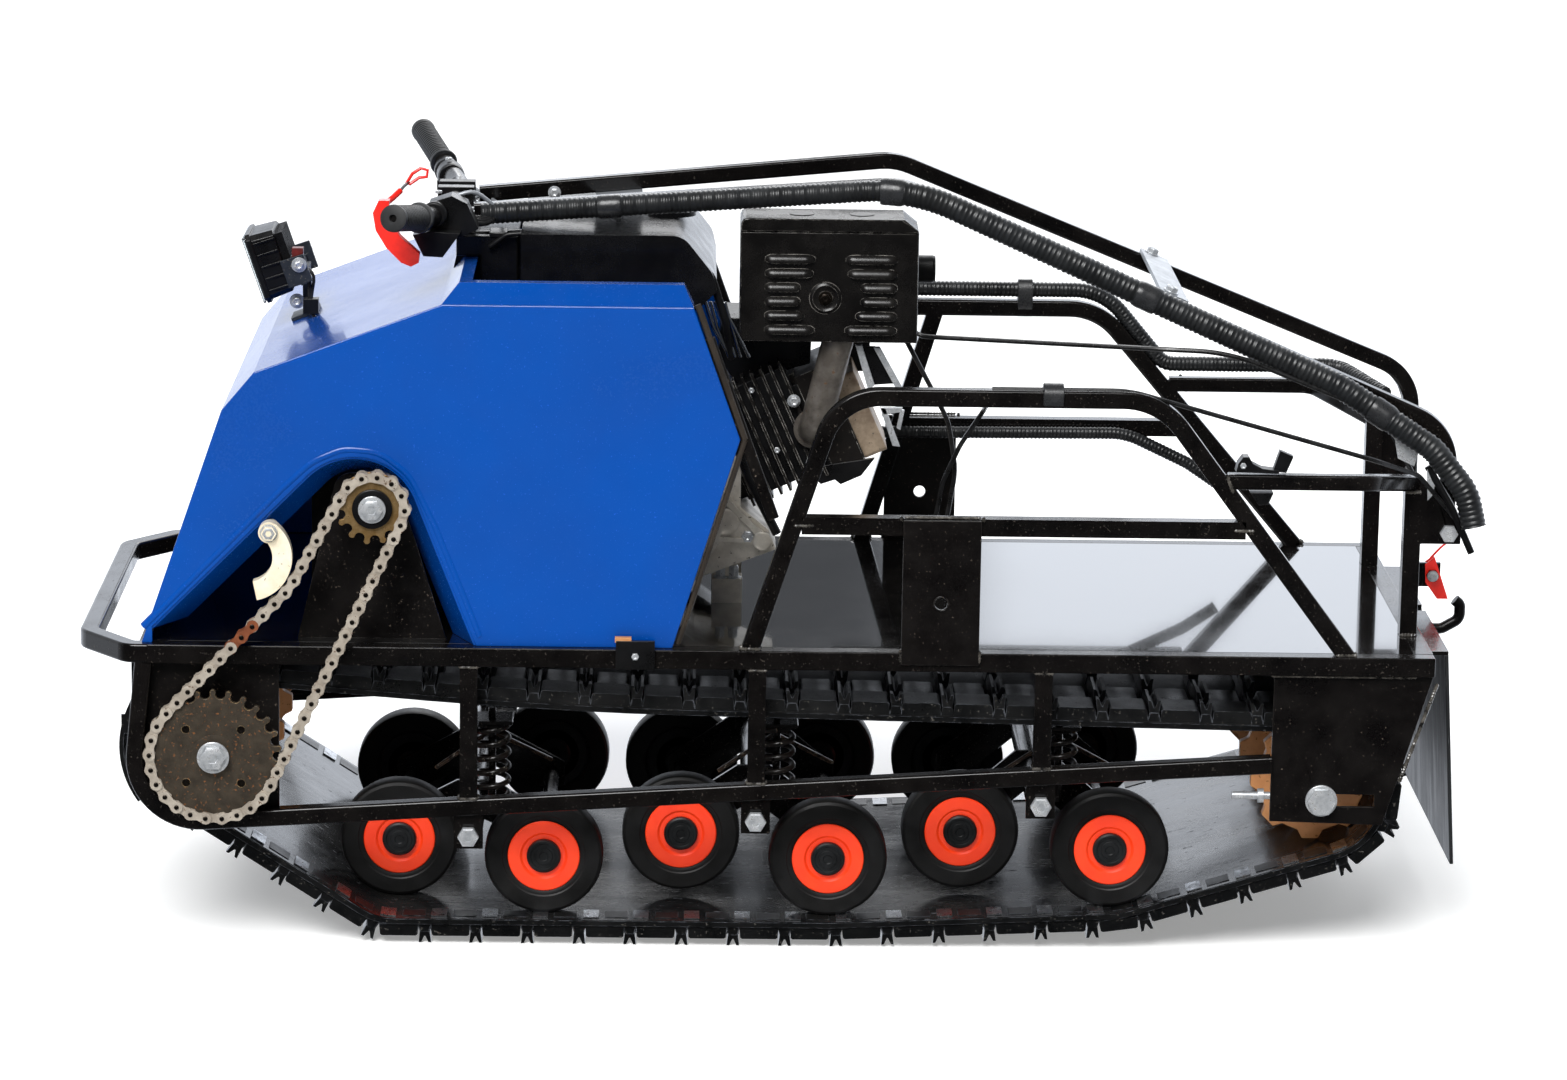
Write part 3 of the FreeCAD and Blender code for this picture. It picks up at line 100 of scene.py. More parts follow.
@dataclass(frozen=True)
class Finish:
    """A surface: its base, its film, its grain and its wear, and on some finishes painted highlights along
    its edges. Lengths are millimetres.
    """

    name: str
    colour: str
    shade: str
    rough: tuple[float, float] = (0.25, 0.45)
    metal: float = 0.0
    coat: float = 0.0
    coat_rough: float = 0.06
    specular: float = 0.5
    mottle: float = 90.0
    grain: float = 2.0
    relief: float = 0.03
    wave: float = 0.0
    stretch: Point = (1.0, 1.0, 1.0)
    dust: float = 0.0
    dust_colour: str = "#A8A49C"
    speck: str = ""
    speck_size: float = 6.0
    speck_share: float = 0.1
    edge: str = ""
    edge_width: float = 1.2
    clear: float = 0.0
    glow: float = 0.0

    def noise(self, tree: bpy.types.NodeTree, spot: bpy.types.NodeSocket, size: float,
              detail: float) -> bpy.types.NodeSocket:
        """Adds a noise whose lumps have a real size.

        Args:
            tree: The material's tree.
            spot: The coordinates it reads.
            size: The size of a lump in millimetres.
            detail: How many octaves it has.

        Returns:
            The noise's factor socket.
        """
        settings = {"Vector": spot, "Scale": 1 / (size * MM), "Detail": detail, "Roughness": 0.6}
        return add_node(tree, "ShaderNodeTexNoise", settings).outputs["Fac"]

    def ramp(self, tree: bpy.types.NodeTree, value: bpy.types.NodeSocket, span: tuple[float, float],
             out: tuple[float, float]) -> bpy.types.NodeSocket:
        """Maps one range of a value on to another.

        Args:
            tree: The material's tree.
            value: The socket that is mapped.
            span: The range read from it.
            out: The range that it becomes.

        Returns:
            The mapped socket.
        """
        limits = {"Value": value, "From Min": span[0], "From Max": span[1], "To Min": out[0],
                  "To Max": out[1]}
        return add_node(tree, "ShaderNodeMapRange", limits, clamp=True).outputs["Result"]

    def material(self) -> bpy.types.Material:
        """Builds the material once and returns it."""
        found = bpy.data.materials.get(self.name)
        if found:
            return found
        made = bpy.data.materials.new(self.name)
        made.use_nodes = True
        tree = made.node_tree
        tree.nodes.clear()
        place = add_node(tree, "ShaderNodeTexCoord").outputs["Object"]
        spot = add_node(tree, "ShaderNodeMapping", {"Vector": place, "Scale": self.stretch}).outputs[0]
        broad = self.ramp(tree, self.noise(tree, spot, self.mottle, 4), (0.35, 0.65), (0, 1))
        fine = self.noise(tree, spot, self.grain, 6)
        mixed = {MIX_FACTOR: broad, MIX_A: linear(self.colour), MIX_B: linear(self.shade)}
        colour = add_node(tree, "ShaderNodeMix", mixed, data_type="RGBA").outputs[MIX_OUT]
        smear = add_node(tree, "ShaderNodeMath", {0: broad, 1: 0.5, 2: fine},
                         operation="MULTIPLY_ADD").outputs[0]
        rough = self.ramp(tree, smear, (0.4, 1.05), self.rough)
        metal = self.metal
        layers = []
        # Edge colour on rounded edges: wear on some finishes, painted highlight on others (track rubber,
        # cylinder fins, spring coils, muffler guard).
        if self.edge:
            geometry = add_node(tree, "ShaderNodeNewGeometry")
            soft = add_node(tree, "ShaderNodeBevel", {"Radius": self.edge_width * MM}, samples=4)
            facing = {0: soft.outputs[0], 1: geometry.outputs["Normal"]}
            turn = add_node(tree, "ShaderNodeVectorMath", facing, operation="DOT_PRODUCT").outputs["Value"]
            edge_wear_and_highlight = self.ramp(tree, turn, (0.97, 0.8), (0, 1))
            patch = self.ramp(tree, self.noise(tree, spot, 9.0, 4), (0.42, 0.6), (0, 1))
            edge_wear_and_highlight = add_node(tree, "ShaderNodeMath", {0: edge_wear_and_highlight, 1: patch}, operation="MULTIPLY").outputs[0]
            layers.append((edge_wear_and_highlight, self.edge, 0.35))
        if self.speck:
            grains = self.noise(tree, spot, self.speck_size, 5)
            start = 0.5 + 0.3 * (0.5 - self.speck_share)
            layers.append((self.ramp(tree, grains, (start, start + 0.05), (0, 1)), self.speck, 0.75))
        if self.dust:
            normal = add_node(tree, "ShaderNodeNewGeometry").outputs["Normal"]
            up = add_node(tree, "ShaderNodeSeparateXYZ", {0: normal}).outputs["Z"]
            level = self.ramp(tree, up, (-0.2, 1.0), (0.25 * self.dust, self.dust))
            film = self.ramp(tree, self.noise(tree, spot, 35.0, 6), (0.35, 0.7), (0, 1))
            level = add_node(tree, "ShaderNodeMath", {0: level, 1: film}, operation="MULTIPLY").outputs[0]
            layers.append((level, self.dust_colour, 0.8))
        for mask, over, dull in layers:
            mixed = {MIX_FACTOR: mask, MIX_A: colour, MIX_B: linear(over)}
            colour = add_node(tree, "ShaderNodeMix", mixed, data_type="RGBA").outputs[MIX_OUT]
            lift = {0: mask, 1: dull, 2: rough}
            rough = add_node(tree, "ShaderNodeMath", lift, operation="MULTIPLY_ADD",
                             use_clamp=True).outputs[0]
            if self.metal and dull > 0.5:
                drop = {0: mask, 1: -1.0, 2: metal}
                metal = add_node(tree, "ShaderNodeMath", drop, operation="MULTIPLY_ADD",
                                 use_clamp=True).outputs[0]
        height = fine
        distance = self.relief
        if self.wave:
            swell = self.noise(tree, spot, self.mottle * 0.6, 2)
            grain_share = self.relief / self.wave
            height = add_node(tree, "ShaderNodeMath", {0: fine, 1: grain_share, 2: swell},
                              operation="MULTIPLY_ADD").outputs[0]
            distance = self.wave
        bump = add_node(tree, "ShaderNodeBump", {"Height": height, "Distance": distance * MM}).outputs[0]
        inputs = {
            "Base Color": colour,
            "Roughness": rough,
            "Metallic": metal,
            "Specular IOR Level": self.specular,
            "Coat Weight": self.coat,
            "Coat Roughness": self.coat_rough,
            "Transmission Weight": self.clear,
            "Emission Color": linear(self.colour),
            "Emission Strength": self.glow,
            "Normal": bump,
        }
        shader = add_node(tree, "ShaderNodeBsdfPrincipled", inputs).outputs[0]
        add_node(tree, "ShaderNodeOutputMaterial", {"Surface": shader})
        return made


# Gloss black oven enamel on steel tube: mirror highlights with a faint orange peel.
FRAME_ENAMEL = Finish("black_stoved_enamel_on_steel", "#070606", "#0D0A09", (0.12, 0.26), coat=0.2,
                      specular=0.3,
                      mottle=70, grain=3, relief=0.02, wave=0.05, dust=0.02, speck="#3A342E", speck_size=3.0,
                      speck_share=0.02)
# The same enamel laid thick and flat on the deck sheet: a near mirror with a slow ripple.
DECK_ENAMEL = replace(FRAME_ENAMEL, name="black_enamel_on_deck_sheet", rough=(0.05, 0.13), coat=1.0,
                      coat_rough=0.03,
                       specular=1.0, mottle=240, wave=0.10, dust=0.02, speck="")
# Satin black enamel on laser-cut plates: softer highlights with dust specks.
PLATE_ENAMEL = replace(FRAME_ENAMEL, name="satin_black_enamel_on_plate", colour="#070505", shade="#0D0908",
                       rough=(0.26, 0.42), coat=0.15, edge="#4E4A46", speck="#5C5248", speck_share=0.01)
# Electric-welded seams under the enamel: the grey mottled patches are painted highlights on the beads.
WELD_ENAMEL = replace(FRAME_ENAMEL, name="black_enamel_over_weld_bead", colour="#141312", shade="#5A5650",
                      rough=(0.15, 0.3), coat=0.6, mottle=9, speck="")
# Gloss blue polyester powder coat with a clear coat on folded sheet: deep and even.
HOOD_POWDER = Finish("blue_gloss_powder_coat_on_sheet", "#0049A2", "#00459B", (0.18, 0.28), coat=0.35,
                     coat_rough=0.05,
                     specular=0.25, mottle=160, grain=2.5, relief=0.008, wave=0.08, dust=0.01,
                     speck="#0B55C4",
                     speck_size=2.5, speck_share=0.01)
# Vulcanised track rubber: nearly black, with a half-dull sheen; the pale edge colour is painted highlight
# along the lug edges.
TRACK_RUBBER = Finish("moulded_track_rubber", "#040506", "#090A0C", (0.26, 0.44), specular=0.35, coat=0.1,
                      coat_rough=0.2,
                      mottle=45, grain=1.6, relief=0.06, dust=0.03, speck="#54514C", speck_size=3.5,
                      speck_share=0.02,
                      edge="#6A6E76", edge_width=1.0)
# The calendered inner face of the belt: wet-looking gloss with scuffs from the rollers.
BELT_INSIDE = Finish("calendered_rubber_belt_face", "#050608", "#0A0C10", (0.14, 0.28), coat=0.3,
                     coat_rough=0.1,
                     specular=0.5, mottle=60, grain=5.0, relief=0.02, wave=0.4, stretch=(0.35, 1.0, 1.0),
                     dust=0.05,
                     speck="#5E6166", speck_size=7.0, speck_share=0.015)
# Pressed steel track clips rubbed bright by the stars.
TRACK_CLIP = Finish("pressed_steel_track_clip", "#C9CCD0", "#8E9094", (0.2, 0.4), metal=1.0, grain=1.2,
                    mottle=12,
                    speck="#4A4038", speck_size=4.0, speck_share=0.12)
# Carbon-black roller rubber with a mould sheen and fine scuffs on the tread.
ROLLER_RUBBER = Finish("roller_tyre_rubber", "#0C0C0C", "#141415", (0.4, 0.58), specular=0.35, mottle=30,
                       grain=1.4,
                       relief=0.05, dust=0.05, dust_colour="#77736C")
# Injection-moulded orange-red hub plastic: saturated with a soft gloss.
HUB_PLASTIC = Finish("orange_red_moulded_hub", "#FF4216", "#FA3910", (0.3, 0.42), mottle=25, grain=2.0,
                     relief=0.015,
                     specular=0.4, dust=0.03)
# Black moulded end cap in the hub, matt with fine pores.
CAP_PLASTIC = Finish("black_moulded_cap", "#121314", "#1A1C1E", (0.35, 0.5), mottle=18, grain=1.2,
                     relief=0.03)
# Cast polyurethane star wheel: tan, faintly marbled, scraped on the flanks.
STAR_POLYMER = Finish("tan_cast_polymer_star", "#D2915A", "#C07F49", (0.35, 0.5), mottle=22, grain=1.8,
                      relief=0.04,
                      edge="#E8B684", dust=0.06, speck="#8A5A30", speck_size=4.0, speck_share=0.05)
# Bright zinc plate with passivation: blue-white with cloudy patches.
ZINC_PLATE = Finish("bright_zinc_plated_steel", "#E6E8EA", "#BCC0C4", (0.24, 0.42), metal=0.6, mottle=8,
                    grain=0.9,
                    relief=0.02, speck="#7B7468", speck_size=2.2, speck_share=0.06)
# Spring steel under scratched black paint: dark coils; the tan edge colour is painted highlight on the coils.
SPRING_PAINT = Finish("painted_spring_steel", "#0B0908", "#19120E", (0.24, 0.42), coat=0.3, mottle=9,
                      grain=1.5,
                      relief=0.03, edge="#8A6A4E", edge_width=1.4, speck="#A9A296", speck_size=3.0,
                      speck_share=0.04)
# Pale phosphated chain plates with oil in the pores: beige-grey and half dull.
CHAIN_PLATE = Finish("phosphated_chain_plate", "#C9BFB0", "#A99E90", (0.34, 0.5), metal=0.35, mottle=14,
                     grain=1.0,
                     relief=0.03, speck="#5A4433", speck_size=4.5, speck_share=0.08)
# A link that has rusted: brown iron oxide, fully dull.
RUSTY_PLATE = replace(CHAIN_PLATE, name="rusted_chain_plate", colour="#8A4B28", shade="#6B351A",
                      rough=(0.6, 0.8),
                      metal=0.2)
# Oiled pins and bushes of the chain: dark steel with a tight highlight.
CHAIN_PIN = Finish("oiled_chain_pin", "#3A342E", "#221D19", (0.25, 0.4), metal=0.9, mottle=5, grain=0.8,
                   relief=0.02)
# Black-oxide sprocket plate: fine rust freckles and teeth worn to a golden edge.
SPROCKET_PLATE = Finish("black_oxide_sprocket", "#50473B", "#3B342B", (0.38, 0.55), metal=0.45, mottle=14,
                        grain=1.4,
                        relief=0.04, speck="#6B4424", speck_size=3.5, speck_share=0.16, edge="#C9A870",
                        edge_width=1.5)
# Fresh zinc-yellow sprocket: golden chromate on the small driving wheel.
YELLOW_CHROMATE = Finish("yellow_chromate_sprocket", "#C9A977", "#A78452", (0.28, 0.42), metal=0.8, mottle=10,
                         grain=1.1, relief=0.02, speck="#6B5233", speck_size=4.0, speck_share=0.08)
# Cream cast nylon of the chain guide: waxy, with oil smears.
GUIDE_NYLON = Finish("cream_cast_nylon", "#EFE6D0", "#E2D5B8", (0.3, 0.45), mottle=18, grain=1.6, relief=0.03,
                     speck="#8D7A5B", speck_size=5.0, speck_share=0.05)
# Die-cast aluminium of the engine: pale grey with cast grain and grime in the roots.
CAST_ALUMINIUM = Finish("die_cast_aluminium", "#E6DFD2", "#BDB5A8", (0.32, 0.5), metal=0.45, mottle=25,
                        grain=1.3,
                        relief=0.08, speck="#5A544B", speck_size=5.0, speck_share=0.03, edge="#E4E2DC")
# The finned barrel: the same casting, painted dark for the shade between the fins, with painted highlights on
# the fin edges.
FIN_ALUMINIUM = replace(CAST_ALUMINIUM, name="finned_cast_aluminium", colour="#26221F", shade="#1A1715",
                        edge="#D5D2CA", edge_width=1.6)
# Pressed steel exhaust pipe with heat scale: grey with brown bloom.
EXHAUST_STEEL = Finish("heat_scaled_exhaust_steel", "#7E7871", "#5A544D", (0.3, 0.48), metal=0.5, mottle=16,
                       grain=1.2, relief=0.03, speck="#5A4433", speck_size=6.0, speck_share=0.05)
# Heat-resistant satin black on the muffler guard: soft highlights, dust on top, and a pale edge colour that
# paints highlights on the louvre ends and folds.
GUARD_ENAMEL = Finish("heatproof_satin_black", "#0A0909", "#12100F", (0.18, 0.32), mottle=40, grain=1.6,
                      relief=0.03,
                      specular=0.4, dust=0.03, edge="#B9B4AC", edge_width=0.9)
# Black polypropylene mouldings: fine texture, half-dull sheen.
BLACK_MOULDING = Finish("black_polypropylene_moulding", "#080809", "#101012", (0.24, 0.4), specular=0.35,
                        mottle=40,
                        grain=1.5, relief=0.05, dust=0.02)
# Gloss black tank and box shells: injection moulded, polished tool side.
GLOSS_MOULDING = replace(BLACK_MOULDING, name="gloss_black_moulding", rough=(0.18, 0.32), coat=0.1,
                         relief=0.02)
# Corrugated polyamide conduit: charcoal with light on every rib.
CONDUIT = Finish("corrugated_polyamide_conduit", "#151617", "#202224", (0.28, 0.42), mottle=30, grain=1.2,
                 relief=0.02,
                 dust=0.08, dust_colour="#8C8C8A")
# PVC insulating tape wrapped round the conduit: grey gloss with creases.
TAPE = Finish("pvc_insulating_tape", "#2C2D2F", "#202123", (0.2, 0.35), mottle=9, grain=2.0, relief=0.10,
              dust=0.05)
# Grip rubber with fine ribs: charcoal and matt.
GRIP_RUBBER = Finish("handlebar_grip_rubber", "#1A1B1C", "#252628", (0.45, 0.6), mottle=18, grain=1.0,
                     relief=0.06,
                     dust=0.14, dust_colour="#8A8A88")
# PVC cable sheath, thin and glossy black.
CABLE_SHEATH = Finish("pvc_cable_sheath", "#121212", "#1E1E1F", (0.22, 0.36), mottle=12, grain=1.0,
                      relief=0.02)
# Signal-red powder coat or plastic on latch and lanyard.
SIGNAL_RED = Finish("signal_red_plastic", "#FF2412", "#F01C0C", (0.28, 0.42), coat=0.2, mottle=12, grain=1.4,
                    relief=0.02)
# Silver-grey handle strap: zinc under clear lacquer, soft and even.
STRAP_ZINC = replace(ZINC_PLATE, name="zinc_plated_cross_strap", colour="#B4B8BD", shade="#A3A7AC",
                     rough=(0.4, 0.55),
                     mottle=20)
# Reinforced flap rubber with drawn vertical streaks of dried mud.
FLAP_RUBBER = Finish("conveyor_rubber_flap", "#141516", "#232527", (0.4, 0.58), mottle=14, grain=2.2,
                     relief=0.10,
                     stretch=(1.0, 1.0, 0.06), speck="#8F9396", speck_size=4.0, speck_share=0.04)
# Clear polycarbonate lens of the lamp.
LENS = Finish("clear_polycarbonate_lens", "#EEF4F6", "#E2EAEC", (0.02, 0.05), mottle=30, grain=3.0,
              relief=0.01,
              clear=0.85)
# Vacuum-metallised reflector behind the lens: bright and slightly rippled.
REFLECTOR = Finish("metallised_reflector", "#E6E8EA", "#CDD0D3", (0.05, 0.12), metal=1.0, mottle=12,
                   grain=2.0,
                   relief=0.02)
# Red-brown moulded connector of the lamp wires.
CONNECTOR = Finish("brown_red_connector", "#6E1C16", "#541410", (0.35, 0.5), mottle=10, grain=1.0)
# Pale studio floor: matt, slightly mottled paint, kept white by a weak light of its own.
STUDIO_FLOOR = Finish("pale_matt_studio_floor", "#FAFAF9", "#F5F5F4", (0.75, 0.9), specular=0.1, mottle=900,
                      grain=12, relief=0.02, glow=0.3)


# ------------------------------------------------------------------ geometry helpers
def ring(centre: Vector, side: Vector, up: Vector, radius: float, count: int,
         start: float = 0.0) -> list[Vector]:
    """Spots on a circle.

    Args:
        centre: The circle's centre.
        side: Unit vector at angle zero.
        up: Unit vector at a quarter turn.
        radius: The circle's radius.
        count: How many spots.
        start: The first spot's angle in turns.

    Returns:
        The spots in order.
    """
    turns = [math.tau * (index / count + start) for index in range(count)]
    return [centre + side * (radius * math.cos(a)) + up * (radius * math.sin(a)) for a in turns]


def square_frame(along: Vector, hint: Vector = Vector((0, 0, 1))) -> tuple[Vector, Vector]:
    """Two unit vectors square to a direction.

    Args:
        along: The direction.
        hint: What the second vector leans towards.

    Returns:
        The side and the up vector.
    """
    if abs(along.normalized().dot(hint)) > 0.95:
        hint = Vector((1, 0, 0))
    side = hint.cross(along).normalized()
    return side, along.cross(side).normalized()


def rounded_path(points: list[Point], radii: list[float], step: float = 6.0) -> list[Vector]:
    """A bent line: straight runs joined by arcs.

    Args:
        points: The corners, ends included.
        radii: The bend radius at each inner corner.
        step: The distance between spots on the bends and the runs.

    Returns:
        Spots along the line.
    """
    corners = [Vector(point) for point in points]
    path = [corners[0]]
    for index, radius in enumerate(radii, start=1):
        inward = (corners[index - 1] - corners[index]).normalized()
        outward = (corners[index + 1] - corners[index]).normalized()
        half = inward.angle(outward) / 2
        reach = radius / math.tan(half)
        centre = corners[index] + (inward + outward).normalized() * (radius / math.sin(half))
        first = corners[index] + inward * reach - centre
        last = corners[index] + outward * reach - centre
        bend = first.angle(last)
        count = max(3, int(bend * radius / step))
        for number in range(count + 1):
            share = number / count
            blend = first * math.sin((1 - share) * bend) + last * math.sin(share * bend)
            path.append(centre + blend / math.sin(bend))
    path.append(corners[-1])
    spaced = [path[0]]
    for spot in path[1:]:
        gap = (spot - spaced[-1]).length
        start = spaced[-1]
        for number in range(1, max(1, int(gap / step)) + 1):
            spaced.append(start.lerp(spot, number / max(1, int(gap / step))))
    return spaced


def tangent(first: Point, second: Point) -> tuple[Vector, Vector, float]:
    """The straight run between two turning circles.

    Args:
        first: X, Z, radius and sense of the circle that is left.
        second: The same for the circle that is met.

    Returns:
        The spot it leaves from, the spot it meets, and its heading.
    """
    ax, az, ar, asense = first
    bx, bz, br, bsense = second
    gap = math.hypot(bx - ax, bz - az)
    heading = math.atan2(bz - az, bx - ax) + math.asin((ar * asense - br * bsense) / gap)
    nx, nz = math.sin(heading), -math.cos(heading)
    leave = Vector((ax + nx * ar * asense, 0, az + nz * ar * asense))
    return leave, Vector((bx + nx * br * bsense, 0, bz + nz * br * bsense)), heading


def belt_line(circles: list[Point], offset: float = 0.0, step: float = 5.0) -> list[Vector]:
    """A closed line round turning circles in the X-Z plane.

    Args:
        circles: X, Z, radius and sense of each circle.
        offset: How far the line lies outside them.
        step: The distance between its spots.

    Returns:
        Spots evenly spaced along the line.
    """
    rounds = [(x, z, r + offset * sense, sense) for x, z, r, sense in circles]
    count = len(rounds)
    runs = [tangent(rounds[index], rounds[(index + 1) % count]) for index in range(count)]
    dense = []
    for index in range(count):
        leave, meet, heading = runs[index]
        for number in range(60):
            dense.append(leave.lerp(meet, number / 60))
        x, z, radius, sense = rounds[(index + 1) % count]
        turn = (runs[(index + 1) % count][2] - heading + math.pi) % math.tau - math.pi
        if index == count - 1 or abs(turn) > 3:
            turn = turn % math.tau
        for number in range(60):
            way = heading + turn * number / 60
            dense.append(Vector((x + math.sin(way) * radius * sense, 0, z - math.cos(way) * radius * sense)))
    return even_spots(dense, step)


def even_spots(dense: list[Vector], step: float) -> list[Vector]:
    """Spreads spots evenly round a closed line.

    Args:
        dense: Spots close together along the line.
        step: The wanted distance, which is adjusted so that a whole number fits.

    Returns:
        The even spots.
    """
    closed = dense + [dense[0]]
    lengths = [(b - a).length for a, b in zip(closed, closed[1:])]
    total = sum(lengths)
    count = round(total / step)
    spots = []
    passed, index = 0.0, 0
    for number in range(count):
        goal = total * number / count
        while index < len(lengths) - 1 and passed + lengths[index] < goal:
            passed += lengths[index]
            index += 1
        share = (goal - passed) / max(lengths[index], 1e-6)
        spots.append(closed[index].lerp(closed[index + 1], share))
    return spots


class Shape:
    """A mesh in the making. Points are millimetres; faces take the finish in hand."""

    def __init__(self, finish: Finish) -> None:
        """Starts an empty mesh with one finish in hand."""
        self.mesh = bmesh.new()
        self.finishes = [finish]
        self.current = 0
        self.place = Matrix.Identity(4)

    def use(self, finish: Finish) -> "Shape":
        """Takes another finish in hand for the faces that follow."""
        if finish not in self.finishes:
            self.finishes.append(finish)
        self.current = self.finishes.index(finish)
        return self

    def at(self, origin: Point = (0, 0, 0), pitch: float = 0.0, yaw: float = 0.0) -> "Shape":
        """Sets where the points that follow are placed.

        Args:
            origin: Where the local origin goes.
            pitch: Turn about Y in degrees.
            yaw: Turn about Z in degrees.

        Returns:
            The shape itself.
        """
        turn = Matrix.Rotation(math.radians(yaw), 4, "Z") @ Matrix.Rotation(math.radians(pitch), 4, "Y")
        self.place = Matrix.Translation(Vector(origin)) @ turn
        return self

    def loft(self, rings: list[list[Vector]], looped: bool = False, caps: bool = True) -> None:
        """Joins rings of equal count with quads.

        Args:
            rings: The rings in order.
            looped: Whether the last ring joins the first.
            caps: Whether open ends are closed with a face.
        """
        rows = [[self.mesh.verts.new((self.place @ Vector(p)) * MM) for p in spots] for spots in rings]
        count = len(rows[0])
        pairs = list(zip(rows, rows[1:])) + ([(rows[-1], rows[0])] if looped else [])
        faces = []
        for first, second in pairs:
            for index in range(count):
                after = (index + 1) % count
                faces.append((first[index], first[after], second[after], second[index]))
        if caps and not looped:
            faces += [tuple(reversed(rows[0])), tuple(rows[-1])]
        for corners in faces:
            made = self.mesh.faces.new(corners)
            made.material_index = self.current
            made.smooth = True

    def prism(self, outline: list[tuple[float, float]], low: float, high: float) -> None:
        """Extrudes an X-Z outline along Y.

        Args:
            outline: The corners in order.
            low: Y of one side.
            high: Y of the other side.
        """
        self.loft([[Vector((x, y, z)) for x, z in outline] for y in (low, high)])

    def box(self, low: Point, high: Point) -> None:
        """Adds a box between two corners."""
        (ax, ay, az), (bx, by, bz) = low, high
        self.prism([(ax, az), (bx, az), (bx, bz), (ax, bz)], ay, by)

    def lathe(self, profile: list[tuple[float, float]], centre: Point, along: Point = (0, 1, 0),
              count: int = 48) -> None:
        """Turns a profile round an axis.

        Args:
            profile: Distance along the axis and radius of each spot.
            centre: Where the axis starts.
            along: The axis direction.
            count: Spots round each ring.
        """
        axis = Vector(along).normalized()
        side, up = square_frame(axis)
        rings = [ring(Vector(centre) + axis * t, side, up, max(r, 0.05), count) for t, r in profile]
        self.loft(rings)

    def sweep(self, path: list[Vector], radius: float | list[float], count: int = 12,
              looped: bool = False) -> None:
        """Sweeps a round section along a path.

        Args:
            path: Spots along the centre line.
            radius: One radius, or one for each spot.
            count: Spots round the section.
            looped: Whether the path closes on itself.
        """
        radii = radius if isinstance(radius, list) else [radius] * len(path)
        total = len(path)
        rings = []
        side = None
        for index, spot in enumerate(path):
            before = path[index - 1] if index or looped else spot
            after = path[(index + 1) % total] if index < total - 1 or looped else spot
            along = (after - before).normalized()
            if side is None:
                side, up = square_frame(along)
            side = (side - along * side.dot(along)).normalized()
            up = along.cross(side)
            rings.append(ring(spot, side, up, radii[index], count))
        self.loft(rings, looped)

    def bolt(self, centre: Point, along: Point = (0, 1, 0), size: float = 13.0, tall: float = 6.0,
             washer: float = 0.0) -> None:
        """Adds a hexagon head with a chamfer and, where wanted, a washer.

        Args:
            centre: The middle of the seat.
            along: The way the head points.
            size: Width across the flats.
            tall: Height of the head.
            washer: Radius of the washer, or none.
        """
        base = Vector(centre)
        axis = Vector(along).normalized()
        if washer:
            self.lathe([(0, washer * 0.3), (0, washer), (1.6, washer), (1.8, washer - 0.6), (1.8, 1)],
                       centre, along, 32)
            base = base + axis * 1.8
        corner = size / math.sqrt(3)
        side, up = square_frame(axis)
        rings = [ring(base, side, up, corner, 6), ring(base + axis * tall * 0.8, side, up, corner, 6)]
        rings.append(ring(base + axis * tall, side, up, corner * 0.82, 6))
        rings.append(ring(base + axis * tall, side, up, corner * 0.45, 6))
        rings.append(ring(base + axis * (tall - 0.8), side, up, corner * 0.38, 6))
        self.loft(rings)

    def weld(self, start: Point, end: Point, radius: float = 2.2, seed: int = 1) -> None:
        """Lays a lumpy weld bead between two points.

        Args:
            start: Where the bead starts.
            end: Where it ends.
            radius: Its mean radius.
            seed: The seed of its lumps.
        """
        lumps = random.Random(seed)
        first, last = Vector(start), Vector(end)
        count = max(4, int((last - first).length / 1.6))
        path = [first.lerp(last, index / count) for index in range(count + 1)]
        radii = [radius * (0.75 + 0.35 * math.sin(index * 1.6) ** 2 + 0.2 * lumps.random())
                 for index in range(count + 1)]
        radii[0] = radii[-1] = radius * 0.4
        self.sweep(path, radii, 8)

    def build(self, name: str, body: Body = Body.CHASSIS, slot: str = "", replaces: tuple[str, ...] = (),
              bevel: float = 0.0, sharp: float = 38.0) -> bpy.types.Object:
        """Turns the mesh into a piece of the model.

        Args:
            name: The piece's name.
            body: The body that it rides on.
            slot: The record's material slot, which is not used.
            replaces: CAD nodes that it stands for.
            bevel: Width of the edge rounding in millimetres.
            sharp: Angle in degrees above which an edge stays sharp.

        Returns:
            The new object.
        """
        bmesh.ops.recalc_face_normals(self.mesh, faces=self.mesh.faces)
        mesh = bpy.data.meshes.new(name)
        self.mesh.to_mesh(mesh)
        self.mesh.free()
        mesh.set_sharp_from_angle(angle=math.radians(sharp))
        made = bpy.data.objects.new(name, mesh)
        bpy.context.scene.collection.objects.link(made)
        for finish in self.finishes:
            mesh.materials.append(finish.material())
        if bevel:
            soften(made, bevel)
        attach(made, body.value)
        if replaces:
            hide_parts(*replaces)
        LOG.info("%s on %s: %d faces", name, body.value, len(mesh.polygons))
        return made


def soften(piece: bpy.types.Object, width: float) -> None:
    """Rounds a piece's hard edges.

    Args:
        piece: The object that gets the modifiers.
        width: The width of the rounding in millimetres.
    """
    edge = piece.modifiers.new("edge", "BEVEL")
    edge.width = width * MM
    edge.segments = 2
    edge.limit_method = "ANGLE"
    edge.angle_limit = math.radians(38)
    edge.harden_normals = False
    even = piece.modifiers.new("even", "WEIGHTED_NORMAL")
    even.keep_sharp = True


